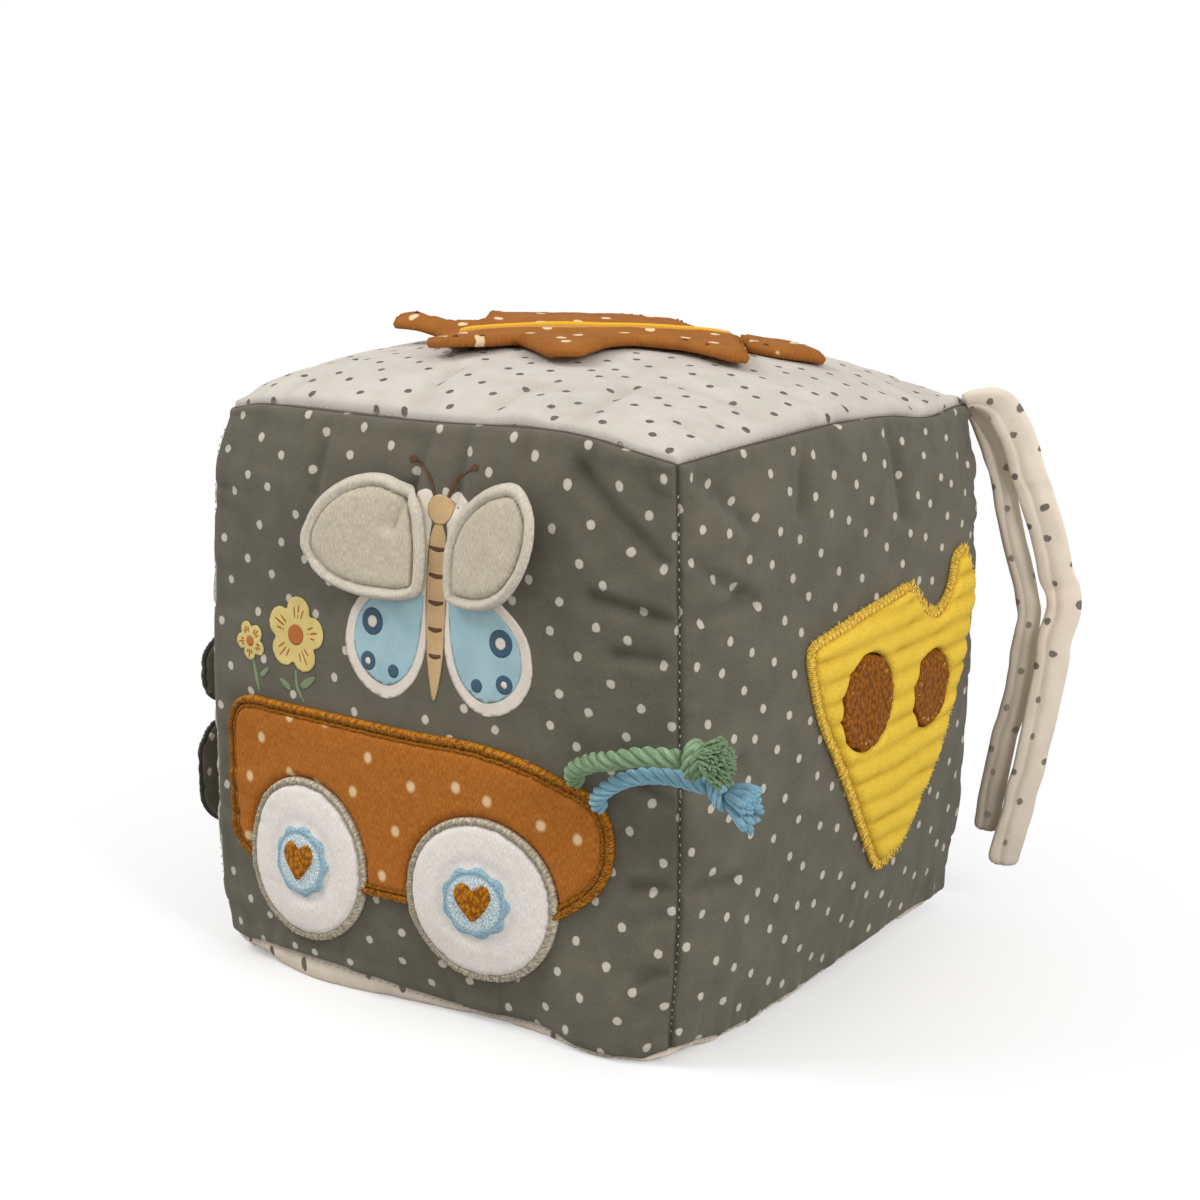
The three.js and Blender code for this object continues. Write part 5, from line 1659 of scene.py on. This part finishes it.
def makeRibbon():
    # a narrow band that widens to the right, with a folded ridge along its far side
    run = np.linspace(*ribbon["ends"], 150)
    grown = np.clip((run - ribbon["ends"][0]) / ribbon["growth"], 0, 1)
    low, high = -np.interp(grown, (0, 1), ribbon["near"]), np.interp(grown, (0, 1), ribbon["far"])
    wide = (high - low)[:, None]
    share = np.linspace(0, 1, 22)[None]
    across = low[:, None] + wide * share
    foldAt = 0.75 - 0.25 * np.clip((run - 8) / 25, 0, 1)[:, None]
    fold = ribbon["fold"] * bell((share - foldAt) * wide, 0.75)
    end = np.minimum(run - run[0], run[-1] - run)[:, None]
    edge = np.minimum(share, 1 - share) * wide
    top = leaf["clear"] + leaf["strip"] + leaf["thick"] + 2 * leaf["gap"] - leaf["sink"]
    lift = ribbon["thick"] * roundEdge(np.minimum(edge, end), 0.5) + fold * roundEdge(end, 4)
    places = ontoTop(np.stack(np.broadcast_arrays(run[:, None], across), -1).reshape(-1, 2))
    x, y = (column.reshape(across.shape) for column in places.T)
    outside, inside = overFace("top", x, y, top + lift), overFace("top", x, y, top)
    rings = np.concatenate([outside, inside[:, ::-1]], axis=1)
    around = np.concatenate([across, across[:, ::-1]], axis=1)
    flat = np.stack(np.broadcast_arrays(run[:, None] / 100, around / 100), -1)
    # the fold mark places the painted highlight along the folded ridge
    marks = {"fold": np.concatenate([fold, np.zeros_like(fold)], axis=1).ravel() / ribbon["fold"]}
    piece = tubePiece("leafRibbon", rings, yellowRibbon, "cube", "yellow_ribbon", flat, marks)
    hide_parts("leaf_vein_ribbon")


def ribbonCloth(look):
    finish = Finish("yellowRibbon")
    ribs = finish.noise(finish.cloth(scale=(3, 0.4, 1)), 300, 3, 0.6)
    flatColour = finish.mix(ribs.step(0.3, 0.7), look["deep"], look["flat"])
    # painted highlight on the folded ridge; the flat band is painted in shade
    colour = finish.mix(finish.mark("fold").step(0.25, 0.8), flatColour, look["bright"])
    normal = finish.bump(weave(finish, finish.cloth(), 0.5) * 0.3 + ribs, 0.08, 0.7)
    return finish.finished(colour, 0.5, normal, specular=0.2)


yellowRibbon = ribbonCloth({
    "deep": tint(182, 128, 52), "flat": tint(208, 158, 78), "bright": tint(238, 178, 24),
})
makeRibbon()
print("leaf made")


# Petals on the left: thick velour with a thin lining towards the cube

petals = {
    "hinge": -18, "length": 47, "velour": 1.9, "lining": 0.9, "clear": 0.3,
    "standOff": {"upper": 7, "lower": 9}, "seeds": {"upper": 151, "lower": 161},
    "outlines": {
        "upper": [(-18.5, 75), (-32, 80.5), (-50, 82), (-63, 77), (-65.5, 69), (-60, 62.5), (-40, 61),
                  (-18.5, 65)],
        "lower": [(-18.5, 53), (-36, 57.6), (-55, 57.8), (-65, 52), (-66.5, 43), (-63, 32), (-52, 26.5),
                  (-34, 31), (-18.5, 42)],
    },
}


def makePetal(place):
    outline, seed = loopThrough(petals["outlines"][place]), petals["seeds"][place]

    def low(across):
        reach = np.clip((petals["hinge"] - across) / petals["length"], 0, 1.1)
        return 0.35 + petals["standOff"][place] * reach ** 1.3

    def front(across, up, depth):
        folds = 0.5 * valueNoise(across / 9 + 20, up / 16 + 20, seed)
        velour = petals["velour"] + folds + pile(across, up, seed + 2, 0.12)
        return low(across) + petals["lining"] + petals["clear"] + velour * roundEdge(depth, 1.6)

    velour = patch(
        f"{place}PetalVelour", "left", outline, 0.85, front,
        lambda a, u, d: low(a) + petals["lining"] + petals["clear"] - 0.2 * roundEdge(d, 1),
        greyVelour, f"petal_{place}", "grey_velour",
    )
    lining = patch(
        f"{place}PetalLining", "left", outline, 1.0,
        lambda a, u, d: low(a) + petals["lining"] * 0.5 + 0.4 * roundEdge(d, 0.8),
        lambda a, u, d: low(a) + petals["lining"] * 0.5 - 0.45 * roundEdge(d, 0.8),
        greyCotton, f"petal_{place}", "grey_velour", inset=0.8,
    )
    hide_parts(f"petal_{place}_velour")
    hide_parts(f"petal_{place}_lining")
    size, area = cutSize(outline)


for place in ("upper", "lower"):
    makePetal(place)
print("petals made")


# Wadding round the rattle, which stays as it is in the frame

stuffing = {"inset": 4.4, "gap": 0.3, "pocket": 22.6, "pocketDepth": 13.6, "turns": 96, "uneven": 0.004}


def ringStack(flat, heights):
    # rings of places, each at its own height
    tall = np.broadcast_to(heights[:, None, None], flat.shape[:2] + (1,))
    return np.concatenate([flat, tall], -1)


def makeWadding(place):
    # a profile turned round the middle: over the face, up the sides, across and into the pocket
    sign = -1 if place == "lower" else 1
    angle = np.arange(stuffing["turns"]) * 2 * np.pi / stuffing["turns"]
    square = np.stack([np.cos(angle), np.sin(angle)], -1)
    square /= np.abs(square).max(-1)[:, None]
    scale = 1 - stuffing["inset"] / body["half"]
    reach = np.sin(np.linspace(0.02, 1, 24) * np.pi / 2)
    rise = np.linspace(1, 0, 22)[1:]
    widths, heights = np.append(reach, np.ones_like(rise)), np.append(np.ones_like(reach), rise)
    outer = pillow(ringStack(square[None] * widths[:, None, None], sign * heights) * scale)
    outer[..., 2] = np.maximum(outer[..., 2], stuffing["inset"])
    flatZ = body["middle"] + sign * stuffing["gap"] / 2
    outer[-1, :, 2] = flatZ
    circle = np.stack([np.cos(angle), np.sin(angle)], -1) * stuffing["pocket"]
    share = np.linspace(0, 1, 12)[1:, None, None]
    cut = ringStack(outer[-1, :, :2] * (1 - share) + circle * share, np.full(len(share), flatZ))
    bottom = np.full(3, body["middle"] + sign * stuffing["pocketDepth"])
    wall = ringStack(circle * np.array([1, 0.55, 0.04])[:, None, None], bottom)
    rings = np.concatenate([outer, cut, wall])
    rough = valueNoise(rings[3:40, :, 0] / 9 + 30, rings[3:40, :, 2] / 9 + 30, 171)
    rings[3:40, :, :2] *= 1 + stuffing["uneven"] * rough[..., None]
    piece = tubePiece(f"{place}Wadding", rings, fibre, "cube", "wadding", rings[..., :2] / 100)
    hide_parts(f"wadding_{place}")


def waddingFibre():
    finish = Finish("waddingFibre")
    curls = finish.noise(finish.solid(), 180, 5, 0.7)
    colour = finish.mix(curls.step(0.3, 0.7), tint(226, 224, 218), tint(246, 245, 241))
    return finish.finished(colour, 1.0, finish.bump(curls, 0.8, 0.8), sheen=0.2)


fibre = waddingFibre()
for place in ("lower", "upper"):
    makeWadding(place)


def mouldedPlastic(name, colour, roughness, alpha=None):
    finish = Finish(name)
    grain = finish.noise(finish.solid(), 900, 3)
    shade = finish.mix(grain.step(0.3, 0.7), tuple(0.92 * c for c in colour[:3]) + (1.0,), colour)
    finish.finished(shade, grain * 0.15 + roughness, finish.bump(grain, 0.02, 0.4))
    if alpha is not None:
        finish.shader.inputs["Alpha"].default_value = alpha
    return finish.material


casePlastic = mouldedPlastic("casePlastic", tint(240, 240, 238), 0.32)
beadPlastic = mouldedPlastic("beadPlastic", tint(201, 80, 60), 0.3)
crinkleFilm = mouldedPlastic("crinkleFilm", tint(232, 232, 232), 0.15, 0.45)
keptNodes = {
    "rattle_case_lower": casePlastic, "rattle_case_upper": casePlastic,
    "leaf_near_film": crinkleFilm, "leaf_far_film": crinkleFilm,
    **{f"rattle_bead_{n}": beadPlastic for n in range(1, 6)},
}
for node, material in keptNodes.items():
    for slot in bpy.data.objects[node].material_slots:
        slot.material = material
print("wadding and rattle dressed")


# Stitches: light threads across the seams

seams = {
    "from": 64, "pitch": 2.1, "slant": 0.35, "reach": 0.55, "radius": 0.12, "sink": 0.95, "arch": 0.12,
    "lines": [("front", "right"), ("front", "top"), ("right", "top"), ("front", "left"), ("front", "bottom"),
              ("right", "bottom"), ("right", "back"), ("back", "left"), ("back", "top"), ("left", "top"),
              ("left", "bottom"), ("back", "bottom")],
}


def makeSeamStitches(first, second, number):
    # each stitch runs over the seam from one face to the other
    a, b, half = faces[first], faces[second], body["half"]
    rng = np.random.default_rng(200 + number)
    run = np.arange(-seams["from"], seams["from"], seams["pitch"]) / half
    run = run + rng.uniform(-0.25, 0.25, len(run)) / half
    ends = []
    for side, other, slant in ((a, b, seams["slant"]), (b, a, -seams["slant"])):
        reach = (seams["reach"] + rng.uniform(0, 0.3, len(run))) / half
        q = np.zeros((len(run), 3))
        q[:, 3 - a["normal"] - b["normal"]] = run + slant / half
        q[:, side["normal"]] = side["sign"]
        q[:, other["normal"]] = other["sign"] * (1 - reach)
        place = pillow(q)
        place[:, side["normal"]] -= side["sign"] * seams["sink"]
        ends.append(place)
    lift = np.zeros((len(run), 3))
    for face in (a, b):
        lift[:, face["normal"]] = face["sign"] * seams["arch"]
    label = f"seamStitches{first.capitalize()}{second.capitalize()}"
    threads(label, *ends, lift, seams["radius"], seamThread, "cube", "grey_cotton")


for number, (first, second) in enumerate(seams["lines"]):
    makeSeamStitches(first, second, number)
print("stitches made")


# Stage and lights

stage = {
    "floor": 24.0, "sky": 0.76, "white": 0.3, "card": 178, "shadow": (-0.05, -0.06, 0),
    "key": ((-0.85, -0.62, 1.2), 0.5, 8.9), "fill": ((1.3, -0.42, 0.85), 0.6, 9.8),
}


def stageWhite(name):
    # lit like white card, and shown to the camera and to gloss a little whiter
    finish = Finish(name)
    grain = finish.noise(finish.solid(), 3, 2)
    path = finish.node("LightPath", {}, {}, "Is Camera Ray")
    seen = path.highest(path.output("Is Glossy Ray")).highest(path.output("Is Transmission Ray"))
    card = finish.mix(grain * 0.02, tint(*[stage["card"]] * 3), tint(*[stage["card"] - 6] * 3))
    finish.finished(finish.mix(seen, card, tint(252, 252, 252)), 0.9, specular=0.1)
    glow = finish.node("Emission", {}, {"Color": (1, 1, 1, 1), "Strength": 1.0}, "Emission")
    lit = Signal(finish, finish.shader.outputs["BSDF"])
    off = finish.node("VectorMath", {"operation": "SUBTRACT"}, {0: finish.solid(), 1: stage["shadow"]})
    away = finish.node("VectorMath", {"operation": "LENGTH"}, {0: off}, "Value")
    share = stage["white"] + away.step(0.1, 0.26) * (1 - stage["white"])
    shown = finish.node("MixShader", {}, {0: seen * share, 1: lit, 2: glow})
    end = finish.tree.nodes["Material Output"]
    finish.tree.links.new(shown.socket, end.inputs["Surface"])
    return finish.material


def makeFloor():
    half = stage["floor"] / 2
    mesh = bpy.data.meshes.new("floor")
    corners = [(-half, -half, 0), (half, -half, 0), (half, half, 0), (-half, half, 0)]
    mesh.from_pydata(corners, [], [(0, 1, 2, 3)])
    mesh.materials.append(stageWhite("whiteCard"))
    floor = bpy.data.objects.new("floor", mesh)
    bpy.context.collection.objects.link(floor)


def makeLamp(name, place, size, watts, target=(0, 0, 0.08)):
    data = bpy.data.lights.new(name, "AREA")
    data.shape = "SQUARE"
    data.size = size
    data.energy = watts
    placed(name, data, place, target)


def makeSky():
    world = bpy.data.worlds.new("studioSky")
    world.use_nodes = True
    shade = world.node_tree.nodes["Background"]
    shade.inputs["Color"].default_value = (1, 1, 1, 1)
    shade.inputs["Strength"].default_value = stage["sky"]
    bpy.context.scene.world = world


makeFloor()
makeLamp("keyLamp", *stage["key"])
makeLamp("fillLamp", *stage["fill"])
makeSky()
bpy.context.scene.view_settings.view_transform = "Standard"
print("stage and lights made")
